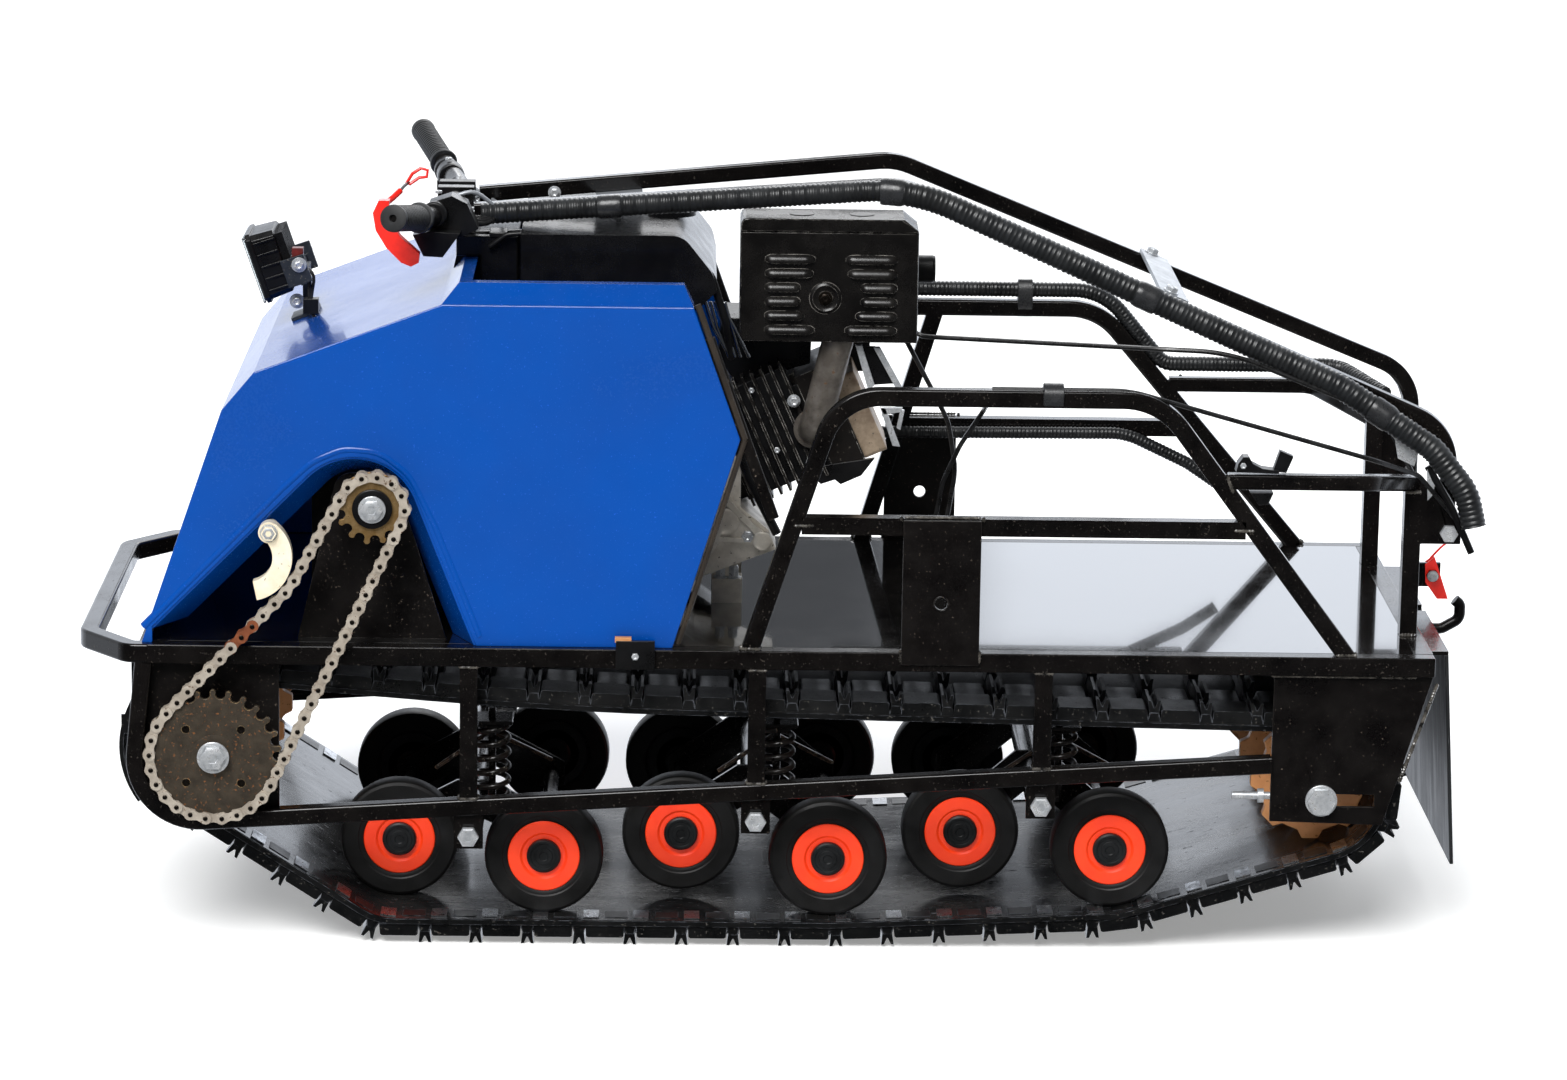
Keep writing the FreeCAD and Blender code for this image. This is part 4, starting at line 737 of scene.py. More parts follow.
def dress(node: str, finish: Finish, bevel: float = 0.0) -> None:
    """Gives a CAD node its finish and, where it helps, softer edges.

    Args:
        node: The CAD node's name.
        finish: What it is coated with.
        bevel: Width of the edge rounding in millimetres.
    """
    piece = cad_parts[node]
    piece.data.materials.clear()
    piece.data.materials.append(finish.material())
    if bevel:
        join = piece.modifiers.new("join", "WELD")
        join.merge_threshold = 0.01 * MM
        soften(piece, bevel)
    LOG.info("%s dressed as %s", node, finish.name)


# ------------------------------------------------------------------ frame
@dataclass
class FrameWork:
    """The welded chassis: deck, rails, posts, plates and bumper."""

    half: float = 271.0
    rail_side: float = 20.0
    deck_top: float = 326.0
    tube: float = 18.0
    posts: tuple[float, ...] = (327.0, 30.0, -265.0)
    low_front: tuple[float, float] = (678.0, 133.0)
    low_rear: tuple[float, float] = (-503.0, 210.0)

    def low_height(self, x: float) -> float:
        """Height of the lower rail's centre line at X."""
        (fx, fz), (rx, rz) = self.low_front, self.low_rear
        return fz + (x - fx) / (rx - fx) * (rz - fz)

    def dress_nodes(self) -> None:
        """Finishes the tubes and plates."""
        for node in ("deck_rails", "cross_members", "frame_posts"):
            dress(node, FRAME_ENAMEL, 1.2)
        for node in ("lower_rail_left", "lower_rail_right", "front_bumper"):
            dress(node, FRAME_ENAMEL)
        dress("deck_plate", DECK_ENAMEL)
        for node in ("front_side_plates", "rear_side_plates"):
            dress(node, PLATE_ENAMEL, 0.8)
        dress("front_shield", replace(TRACK_RUBBER, name="front_shield_sheet_rubber", rough=(0.3, 0.45)))

    def build_welds(self) -> None:
        """Lays the weld beads where posts, plates and rails meet."""
        beads = Shape(WELD_ENAMEL)
        seed = 1
        for side in (1, -1):
            out = side * (self.half + self.tube / 2)
            for x in self.posts:
                low = self.low_height(x) + self.tube / 2
                high = self.deck_top - self.rail_side
                for z in (low + 0.6, high - 0.6):
                    beads.weld((x - 10, out - side, z), (x + 10, out - side, z), 1.9, seed)
                    for edge in (-9.4, 9.4):
                        beads.weld((x + edge, out - 14 * side, z), (x + edge, out - 2 * side, z), 1.9,
                                   seed + 7)
                    seed += 1
            rear = side * (self.half + 2.2)
            beads.weld((-672, rear, 298), (-636, rear, 192), 2.0, seed)
            beads.weld((-650, rear, 304), (-500, rear, 304), 1.5, seed + 3)
        beads.build("frame_weld_beads", slot="frame_black")

    def build_rail_block(self) -> None:
        """Adds the moulded cable block on the left deck rail with its tan tab."""
        out = self.half + self.rail_side / 2
        block = Shape(BLACK_MOULDING)
        block.box((136, out - 1, 306), (176, out + 4.5, 336))
        block.use(STAR_POLYMER).box((160, out - 4, 334), (177, out + 3, 339.5))
        block.use(ZINC_PLATE).bolt((156, out + 4.5, 320), size=7, tall=2.5)
        block.build("rail_cable_block", slot="black_plastic", bevel=0.8)

    def build(self) -> None:
        """Builds the sub-assembly."""
        self.dress_nodes()
        self.build_welds()
        self.build_rail_block()


@dataclass
class Hoops:
    """The side hoops of the load deck with their bars, plates and posts."""

    half: float = 271.0
    top: float = 592.0
    tube: float = 18.0
    hole: Point = (-157.0, 283.2, 379.0)
    hole_radius: float = 6.5
    conduit: float = 8.8
    hose_gap: float = 20.5
    inner_gap: float = 17.5
    inner_hose: float = 7.2
    bar: float = 508.0

    def dress_nodes(self) -> None:
        """Finishes the hoop tubes and plates."""
        for node in ("hoop_left", "hoop_right"):
            dress(node, FRAME_ENAMEL)
        for node in ("hoop_bars", "rear_posts"):
            dress(node, FRAME_ENAMEL, 1.0)
        dress("mount_plates", PLATE_ENAMEL, 0.7)

    def build_welds(self) -> None:
        """Lays the beads at the hoop feet, mount plates, mid rails and rear posts."""
        beads = Shape(WELD_ENAMEL)
        for side in (1, -1):
            out = side * (self.half + 10)
            feet, rails = (((38, 328), (-576, 328)), ((-15, 458), (-466, 458))) if side > 0 else (
                ((-92, 328), (-579, 328)), ((-141, 458), (-455, 458)))
            for x in (-117, -197):
                beads.weld((x, out, 467), (x + (4 if x > -150 else -4), out, 467), 3.0, 3)
                beads.weld((x, out + 1.5 * side, 316), (x, out + 1.5 * side, 330), 2.4, 4)
            beads.weld((-196, out, 468.5), (-118, out, 468.5), 1.4, 5)
            for x, z in feet + rails:
                beads.weld((x - 12, out - 9 * side, z), (x + 12, out - 9 * side, z), 2.3, int(x) % 17 + 2)
                beads.weld((x - 11, out - 2 * side, z), (x + 11, out - 2 * side, z), 1.8, int(x) % 13 + 2)
            beads.weld((-446, side * 279, 517), (-454, side * 279, 497), 2.0, 9)
            post = side * 180
            for z in (327, 480):
                beads.weld((-661, post, z), (-643, post, z), 2.0, 11)
        beads.build("hoop_weld_beads", slot="frame_black")

    def build_hole_rims(self) -> None:
        """Rounds the rims of the holes in the mount plates."""
        rims = Shape(PLATE_ENAMEL)
        for side in (1, -1):
            x, y, z = self.hole
            centre = Vector((x, y * side + 1.9 * side, z))
            spots = ring(centre, Vector((1, 0, 0)), Vector((0, 0, 1)), self.hole_radius + 0.9, 40)
            rims.sweep(spots, 0.9, 8, looped=True)
        rims.build("mount_hole_rims", slot="frame_black")

    def build_conduits(self) -> None:
        """Makes the corrugated hoses strapped along the right hoop."""
        hose = Shape(CONDUIT)
        y = -self.half
        bar = self.bar + self.hose_gap + 2
        top = self.top + self.hose_gap
        route = [(-118, y, top), (-357, y, top), (-426, y, bar), (-622, y, bar), (-666, -190, bar - 17)]
        corrugate(hose, rounded_path(route, [70, 25, 30], 1.0), self.conduit, 4.6, 0.9, 12)
        inner = y + self.inner_gap
        low = [(-60, inner, 452), (-385, inner, 454), (-455, inner, 421), (-492, inner, 396)]
        corrugate(hose, rounded_path(low, [80, 60], 1.0), self.inner_hose, 4.4, 0.8, 12)
        hose.use(TAPE)
        wrap = [(-278, 10.2), (-277.5, 10.8), (-262, 10.8), (-261.5, 10.2)]
        band = []
        for x, reach in wrap:
            band.append([Vector((x, y + reach * math.cos(a), self.top + 11 + (reach + 10.5) * math.sin(a)))
                         for a in [math.tau * k / 24 for k in range(24)]])
        hose.loft(band)
        hose.build("right_hoop_conduits", slot="black_plastic", replaces=("frame_conduits",))

    def build_clip(self) -> None:
        """Adds the moulded cable clip on the left rear bar."""
        clip = Shape(BLACK_MOULDING)
        rail = self.bar + 11
        saddle = [(-456, 0), (-458, 9), (-463, 16), (-469, 16), (-473, 9), (-483, 4), (-500, 2), (-500, -1)]
        clip.prism([(x, rail + z) for x, z in saddle], 261, 279)
        clip.prism([(-494, rail), (-501, rail + 22), (-515, rail + 16), (-508, rail - 1)], 263, 274)
        under = self.bar - 11
        clip.prism([(-471, under + 1), (-495, under + 1), (-490, under - 11), (-480, under - 12)], 260, 280)
        clip.use(ZINC_PLATE).bolt((-463, 279, rail + 7), size=6, tall=2)
        clip.build("rear_bar_clip", slot="black_plastic", bevel=1.2)

    def build(self) -> None:
        """Builds the sub-assembly."""
        self.dress_nodes()
        self.build_welds()
        self.build_hole_rims()
        self.build_conduits()
        self.build_clip()


def corrugate(shape: Shape, path: list[Vector], radius: float, pitch: float, depth: float,
              count: int) -> None:
    """Sweeps a corrugated hose; the real ribs are a third finer and are drawn coarser.

    Args:
        shape: The shape that gets the hose.
        path: Spots along its centre line, one millimetre apart.
        radius: Radius over the ribs.
        pitch: Distance from rib to rib.
        depth: Depth of the grooves.
        count: Spots round the section.
    """
    spots, radii = [], []
    length = 0.0
    goal = 0.0
    for index, spot in enumerate(path):
        if index:
            length += (spot - path[index - 1]).length
        if length >= goal:
            spots.append(spot)
            wave = 0.5 + 0.5 * math.cos(math.tau * length / pitch)
            radii.append(radius - depth * (1 - wave))
            goal += pitch / 4
    shape.sweep(spots, radii, count)


# ------------------------------------------------------------------ track
@dataclass
class RubberTrack:
    """The moulded rubber belt with its lugs, edge blocks and clips."""

    half: float = 250.0
    belt: float = 7.0
    lug: float = 21.0
    pitch: float = 52.4
    roller: float = 62.5
    star: float = 66.0

    def circles(self) -> list[Point]:
        """What the inner face runs round: X, Z, radius and sense."""
        ground = self.lug + self.belt + self.roller
        return [
            (588, 212, self.star, 1),
            (0, 248 + 5000, 5000, -1),
            (-556, 172, self.star, 1),
            (-342, ground + 13, self.roller, 1),
            (-47, ground, self.roller, 1),
            (404, ground, self.roller, 1),
        ]

    def frames(self, offset: float, count: int) -> list[tuple[Vector, Vector, Vector]]:
        """Even stations along the belt.

        Args:
            offset: How far outside the inner face they lie.
            count: How many stations.

        Returns:
            The spot, the way along and the way out at each station.
        """
        line = belt_line(self.circles(), offset, 1.0)
        spots = []
        total = len(line)
        for index in range(count):
            here = int(index * total / count)
            along = (line[(here + 3) % total] - line[here - 3]).normalized()
            spots.append((line[here], along, Vector((along.z, 0, -along.x))))
        return spots

    def build_belt(self) -> None:
        """Makes the carcass with its glossy inner face and its ribbed edges."""
        belt = Shape(TRACK_RUBBER)
        rings_out = []
        stations = self.frames(0.0, 416)
        # The outline runs across the belt: y and the distance from the inner face.
        outline = [(-self.half, 0.6), (-self.half, self.belt - 1), (-self.half + 1.5, self.belt),
                   (self.half - 1.5, self.belt), (self.half, self.belt - 1), (self.half, 0.6)]
        for spot, _, out in stations:
            rings_out.append([spot + out * d + Vector((0, y, 0)) for y, d in outline])
        belt.loft(rings_out, looped=True)
        belt.use(BELT_INSIDE)
        inner = [(-self.half + 1, 0.0), (-self.half + 1, 0.8), (self.half - 1, 0.8), (self.half - 1, 0.0)]
        belt.loft([[spot + out * d + Vector((0, y, 0)) for y, d in inner] for spot, _, out in stations],
                  looped=True)
        belt.build("track_belt", slot="rubber_black", replaces=("track",))

    def build_lugs(self) -> None:
        """Adds the cross lugs with forked paddles and the raised blocks between them."""
        count = 52
        lugs = Shape(TRACK_RUBBER)
        fork = [(-7.5, -0.5), (7.5, -0.5), (5.2, 8), (6.6, self.lug), (3.6, self.lug - 0.4), (0.6, 13.5),
                (-0.6, 13.5), (-3.6, self.lug - 0.4), (-6.6, self.lug), (-5.2, 8)]
        rib = [(-6.5, -0.5), (6.5, -0.5), (4.2, 8.5), (-4.2, 8.5)]
        block = [(-17, -0.5), (17, -0.5), (15.6, 4.0), (13.5, 5.0), (-13.5, 5.0), (-15.6, 4.0)]
        shoulder = [(-20.5, -0.5), (20.5, -0.5), (19.6, 11.0), (17.6, 12.5), (-17.6, 12.5), (-19.6, 11.0)]
        paddles = ((-246, -188), (-150, -92), (-29, 29), (92, 150), (188, 246))
        offset_paddles = ((-204, -140), (-92, -29), (29, 92), (140, 204))
        stations = self.frames(self.belt, count)
        middles = self.frames(self.belt, count * 2)[1::2]
        for number, (spot, along, out) in enumerate(stations):
            self.bar(lugs, spot, along, out, rib, -247, 247, 3)
            spans = paddles if number % 2 == 0 else offset_paddles + ((-246, -226), (226, 246))
            for low, high in spans:
                self.bar(lugs, spot, along, out, fork, low, high, 4)
        for spot, along, out in middles:
            for low, high in ((-188, -120), (120, 188)):
                self.bar(lugs, spot, along, out, block, low, high, 4)
            # The shoulder blocks at both edges are real edge blocks drawn tall, so that from the side they
            # also fill the gaps between lugs with dark rubber where there is only shade.
            for low, high in ((-248, -198), (198, 248)):
                self.bar(lugs, spot, along, out, shoulder, low, high, 3)
        lugs.build("track_lugs", slot="rubber_black", sharp=30)

    def bar(self, shape: Shape, spot: Vector, along: Vector, out: Vector,
            outline: list[tuple[float, float]], low: float, high: float, slope: float) -> None:
        """Adds one moulded bar across the belt with sloping ends.

        Args:
            shape: The shape that gets it.
            spot: The middle of the belt at the bar.
            along: The way along the belt.
            out: The way out of the belt.
            outline: Corners as distance along and out.
            low: Y of one end.
            high: Y of the other end.
            slope: How far the ends lean in over the height of the lug.
        """
        ends = []
        for y, way in ((low, 1), (high, -1)):
            lean = [way * slope * max(up, 0) / self.lug for _, up in outline]
            ends.append([spot + along * a + out * up + Vector((0, y + s, 0)) for (a, up),
                         s in zip(outline, lean)])
        shape.loft(ends)

    def build_clips(self) -> None:
        """Sets steel clips and drive windows along the inner face."""
        clips = Shape(TRACK_CLIP)
        for spot, along, out in self.frames(0.0, 52):
            for y in (-229, 229):
                corners = [(-8, -0.2), (8, -0.2), (8, 1.0), (-8, 1.0)]
                sides = (y - 14, y + 14)
                clips.loft([[spot + along * a - out * (d + 0.6) + Vector((0, s, 0)) for a,
                             d in corners] for s in sides])
        clips.use(TRACK_RUBBER)
        for spot, along, out in self.frames(0.0, 104)[1::2]:
            for y in (-229, 229):
                corners = [(-12, -0.2), (12, -0.2), (12, 0.8), (-12, 0.8)]
                sides = (y - 11, y + 11)
                clips.loft([[spot + along * a - out * d + Vector((0, s, 0)) for a,
                             d in corners] for s in sides])
        clips.build("track_clips", slot="zinc_steel", bevel=0.0)

    def build(self) -> None:
        """Builds the sub-assembly."""
        self.build_belt()
        self.build_lugs()
        self.build_clips()


@dataclass
class RunningGear:
    """Road rollers on their bogies, the stars and both track axles."""

    roller: float = 62.0
    width: float = 30.0
    hub: float = 38.0
    cap: float = 18.0
    wheelbase: float = 154.0
    pivots: tuple[float, ...] = (327.0, 30.0, -265.0)
    heights: tuple[tuple[float, float], ...] = ((90.6, 90.6), (99.6, 90.6), (104.6, 103.6))

    def places(self) -> list[Point]:
        """Centres of the left-hand rollers."""
        found = []
        for x, (front, rear) in zip(self.pivots, self.heights):
            found.append((x + self.wheelbase / 2, 150.0, front))
            found.append((x - self.wheelbase / 2, 212.0, rear))
        return found

    def build_rollers(self) -> None:
        """Turns tyres, orange outer rings and black caps."""
        wheels = Shape(ROLLER_RUBBER)
        r, w = self.roller, self.width / 2
        tyre = [(-w + 3, self.hub), (-w, self.hub + 3), (-w, r - 4), (-w + 2, r - 1.2), (-w + 5, r),
                (w - 5, r),
                (w - 2, r - 1.2), (w, r - 4), (w, self.hub + 6), (w - 1, self.hub + 4.5),
                (w - 1, self.hub + 2),
                (w - 2, self.hub), (w - 5, self.hub - 1), (w - 5, 8), (-w + 3, 8)]
        band = [(w - 3, self.hub - 2), (w - 1.2, self.hub - 0.4), (w - 0.2, self.hub - 1.4), (w + 0.2, 33),
                (w - 0.4, 25), (w - 2.6, 22.5), (w - 2.6, 12), (w - 3, 8)]
        cap = [(w - 3, self.cap), (w + 1.5, self.cap - 0.4), (w + 2.8, self.cap - 2),
               (w + 2.8, self.cap - 4.2),
               (w + 1.8, self.cap - 5), (w + 1.8, 9.5), (w + 2.6, 8.8), (w + 2.6, 5), (w + 1.6, 4),
               (w + 1.6, 0.2)]
        back = [(-w + 3, self.hub), (-w + 2, self.hub - 2), (-w + 4, 20), (-w + 1, 16), (-w + 1, 0.2)]
        for x, y, z in self.places():
            for side in (1, -1):
                for finish, profile in ((ROLLER_RUBBER, tyre), (HUB_PLASTIC, band), (CAP_PLASTIC, cap),
                                        (CAP_PLASTIC, back)):
                    wheels.use(finish).lathe(profile, (x, y * side, z), (0, side, 0), 56)
        wheels.build("road_rollers", slot="tyre_black", replaces=("roller_tyres", "roller_hubs"), sharp=28)

    def dress_nodes(self) -> None:
        """Finishes axles, arms, springs and stars."""
        dress("track_axles", ZINC_PLATE, 0.6)
        dress("bogie_axles", FRAME_ENAMEL, 0.6)
        dress("bogie_arms", FRAME_ENAMEL, 0.8)
        dress("track_stars", STAR_POLYMER, 1.0)
        dress("bogie_springs", SPRING_PAINT)

    def build_spring_rods(self) -> None:
        """Adds the guide rods and end cups of the springs."""
        rods = Shape(FRAME_ENAMEL)
        for x in self.pivots:
            for side in (1, -1):
                rods.lathe([(0, 4), (95, 4)], (x - 22, 205 * side, 150), (0, 0, 1), 12)
                rods.lathe([(0, 12), (1, 19), (3, 19), (4, 8)], (x - 22, 205 * side, 226), (0, 0, 1), 24)
                for shift in (-1, 1):
                    spots = [Vector((x - 22 + shift * 60, (150 + 20 * shift) * side, 170)),
                             Vector((x - 20, 190 * side, 216))]
                    rods.use(SPRING_PAINT).sweep(spots, 2.4, 8)
                rods.use(FRAME_ENAMEL)
        rods.build("spring_guide_rods", slot="frame_black")

    def build_bolts(self) -> None:
        """Sets the bright heads on the bogie pivots and the rear tensioners."""
        bolts = Shape(ZINC_PLATE)
        for side in (1, -1):
            for x, z in zip(self.pivots, (124.9, 144.2, 163.5)):
                bolts.bolt((x, side * 276, z), (0, side, 0), 19, 8.5)
            bolts.lathe([(0, 10), (0, 16.5), (2.2, 16.5), (2.6, 15.8), (2.6, 10)],
                        (-556, side * 273.4, 172), (0, side, 0), 40)
            bolts.bolt((-556, side * 275.6, 172), (0, side, 0), 25, 7)
        bolts.build("bogie_and_axle_bolts", slot="zinc_steel")

    def build(self) -> None:
        """Builds the sub-assembly."""
        self.build_rollers()
        self.dress_nodes()
        self.build_spring_rods()
        self.build_bolts()


# ------------------------------------------------------------------ chain drive
@dataclass
class ChainDrive:
    """The open chain, both sprockets, the nylon guide and the jackshaft."""

    plane: float = 292.0
    pitch: float = 15.875
    big: Point = (588.0, 212.0, 26)
    small: Point = (425.0, 474.0, 13)
    guide: Point = (552.0, 422.0, 53.0)
    roller: float = 5.1

    def radius(self, teeth: float) -> float:
        """Pitch radius of a sprocket."""
        return self.pitch / (2 * math.sin(math.pi / teeth))

    def stations(self) -> list[Vector]:
        """Pin centres round the chain's run."""
        circles = [
            (self.big[0], self.big[1], self.radius(self.big[2]), 1),
            (self.guide[0], self.guide[1], self.guide[2], -1),
            (self.small[0], self.small[1], self.radius(self.small[2]), 1),
        ]
        dense = belt_line(circles, 0.0, 1.0)
        count = 2 * round(len(dense) / self.pitch / 2)
        return [dense[int(index * len(dense) / count)] for index in range(count)]

    def plate_outline(self, first: Vector, second: Vector, radius: float) -> list[tuple[float, float]]:
        """The waisted outline of one link plate.

        Args:
            first: One pin centre.
            second: The next pin centre.
            radius: Radius of the plate's round ends.

        Returns:
            Its corners as X and Z.
        """
        along = (second - first).normalized()
        across = Vector((-along.z, 0, along.x))
        corners = []
        for centre, way in ((first, -1), (second, 1)):
            for turn in (-75, -45, -15, 15, 45, 75):
                angle = math.radians(turn)
                offset = along * (way * math.cos(angle)) + across * (way * math.sin(angle))
                corners.append(centre + offset * radius)
            middle = (first + second) / 2 + across * (way * radius * 0.62)
            corners.append(middle)
        return [(spot.x, spot.z) for spot in corners]

    def build_chain(self) -> None:
        """Links the chain from plates, rollers and pins."""
        chain = Shape(CHAIN_PLATE)
        pins = self.stations()
        rusty = min(range(len(pins)), key=lambda index: (pins[index] - Vector((566, 0, 331))).length)
        for index, first in enumerate(pins):
            second = pins[(index + 1) % len(pins)]
            inner = index % 2 == 0
            chain.use(RUSTY_PLATE if index in (rusty, rusty + 1) else CHAIN_PLATE)
            spans = ((3.4, 5.0), (-5.0, -3.4)) if inner else ((5.3, 6.9), (-6.9, -5.3))
            outline = self.plate_outline(first, second, 6.9 if inner else 6.5)
            for low, high in spans:
                chain.prism(outline, self.plane + low, self.plane + high)
            chain.use(CHAIN_PIN)
            centre = (first.x, self.plane, first.z)
            chain.lathe([(-3.3, 2), (-3.3, self.roller), (3.3, self.roller), (3.3, 2)], centre, (0, 1, 0), 14)
            chain.lathe([(-8.2, 1.8), (-7.8, 2.5), (7.8, 2.5), (8.2, 1.8)], centre, (0, 1, 0), 12)
        chain.build("roller_chain", slot="chain_steel", replaces=("drive_chain",), sharp=30)

    def tooth_outline(self, wheel: Point, phase: float) -> list[tuple[float, float]]:
        """The toothed edge of a sprocket.

        Args:
            wheel: X, Z and tooth count.
            phase: Angle of one roller seat.

        Returns:
            Its corners as X and Z.
        """
        x, z, teeth = wheel
        pitch = self.radius(teeth)
        corners = []
        for index in range(int(teeth)):
            seat = phase + math.tau * index / teeth
            centre = Vector((math.cos(seat), 0, math.sin(seat))) * pitch
            for turn in (-68, -40, -14, 14, 40, 68):
                angle = seat + math.pi - math.radians(turn)
                corners.append(centre + Vector((math.cos(angle), 0, math.sin(angle))) * (self.roller + 0.2))
            half = math.pi / teeth
            for share, tip in ((0.62, pitch + 2.6), (0.86, pitch + 4.4), (1.14, pitch + 4.4),
                               (1.38, pitch + 2.6)):
                angle = seat + half * share
                corners.append(Vector((math.cos(angle), 0, math.sin(angle))) * tip)
        return [(x + spot.x, z + spot.z) for spot in corners]

    def build_sprockets(self) -> None:
        """Cuts both sprockets so that the chain's rollers sit in their teeth."""
        wheels = Shape(SPROCKET_PLATE)
        pins = self.stations()
        for wheel, finish, away in ((self.big, SPROCKET_PLATE, (0, -1)),
                                    (self.small, YELLOW_CHROMATE, (0, 1))):
            x, z, teeth = wheel
            centre = Vector((x, 0, z))
            seat = min(pins, key=lambda pin: abs((pin - centre).length - self.radius(teeth))
                       + 0.02 * abs(pin.x - x - away[0]))
            phase = math.atan2(seat.z - z, seat.x - x)
            wheels.use(finish).prism(self.tooth_outline(wheel, phase), self.plane - 2.7, self.plane + 2.7)
        x, z, _ = self.big
        wheels.use(SPROCKET_PLATE).lathe([(0, 11), (0, 26), (19.5, 25), (21, 22), (21, 11)],
                                         (x, self.plane - 18, z), (0, 1, 0), 48)
        for index in range(4):
            angle = math.tau * (index + 0.5) / 4
            spot = (x + 40 * math.cos(angle), self.plane + 2.2, z + 40 * math.sin(angle))
            wheels.use(CHAIN_PIN).lathe([(0, 4.2), (0.9, 4.2), (0.9, 2), (0.6, 0.3)], spot, (0, 1, 0), 18)
        x, z, _ = self.small
        wheels.use(BLACK_MOULDING).lathe([(0, 10), (0, 20.5), (4.6, 20.5), (5.6, 19), (5.6, 11)],
                                         (x, self.plane + 2, z), (0, 1, 0), 40)
        wheels.use(SPROCKET_PLATE).lathe([(0, 10), (0, 18), (16, 18), (16, 10)], (x, self.plane - 19, z),
                                         (0, 1, 0), 40)
        wheels.build("sprocket_pair", slot="sprocket_steel", replaces=("chain_sprockets",), bevel=0.5)

    def build_bolts(self) -> None:
        """Sets the bright washers and heads on both shafts."""
        bolts = Shape(ZINC_PLATE)
        for x, z, washer, size in ((588, 212, 16.5, 22), (425, 474, 14.0, 19)):
            bolts.lathe([(0, 8), (0, washer), (2.4, washer), (2.8, washer - 0.8), (2.8, 8)],
                        (x, self.plane + 7.6, z), (0, 1, 0), 40)
            bolts.bolt((x, self.plane + 10.2, z), (0, 1, 0), size, 4.6)
        bolts.bolt((530, self.plane + 5.4, 448), (0, 1, 0), 13, 4, 9)
        bolts.build("drive_shaft_bolts", slot="zinc_steel")

    def build(self) -> None:
        """Builds the sub-assembly."""
        self.build_chain()
        self.build_sprockets()
        self.build_bolts()
        dress("chain_guide", GUIDE_NYLON, 1.5)
        dress("gearbox", PLATE_ENAMEL, 0.8)
        dress("jackshaft", ZINC_PLATE, 0.5)


# ------------------------------------------------------------------ hood
@dataclass
class Hood:
    """The folded hood over engine and drive."""

    edge: float = 1.0
    lip_plane: float = 269.0
    lip_radius: float = 4.5

    def dress_nodes(self) -> None:
        """Finishes the panels."""
        for node in ("hood_side_left", "hood_side_right", "hood_top"):
            dress(node, HOOD_POWDER, self.edge)
        dress("hood_flange", HOOD_POWDER)
        dress("hood_braces", PLATE_ENAMEL, 0.8)

    def build_fixings(self) -> None:
        """Adds the grey edge strip at the back."""
        strip = replace(BLACK_MOULDING, name="grey_edge_strip", colour="#3B342D", shade="#2A2521")
        trim = Shape(strip)
        for side in (1, -1):
            route = [Vector((96, 268 * side, 684)), Vector((46, 268 * side, 545)),
                     Vector((112, 268 * side, 330))]
            trim.sweep([route[0], route[0].lerp(route[1], 0.5), route[1]], 3.4, 8)
            trim.sweep([route[1], route[1].lerp(route[2], 0.5), route[2]], 3.0, 8)
        trim.build("hood_trim", slot="hood_blue")
        lip = Shape(HOOD_POWDER)
        spots = [(661, 342), (580, 425), (518, 489), (488, 517), (456, 531), (419, 528), (388, 504),
                 (363, 453), (332, 377),
                 (316, 336)]
        arch = rounded_path([(x, self.lip_plane, z) for x, z in spots], [40, 60, 60, 40, 40, 50, 60, 60], 6)
        lip.sweep(arch, self.lip_radius, 12)
        lip.build("hood_opening_lip", slot="hood_blue")

    def build(self) -> None:
        """Builds the sub-assembly."""
        self.dress_nodes()
        self.build_fixings()


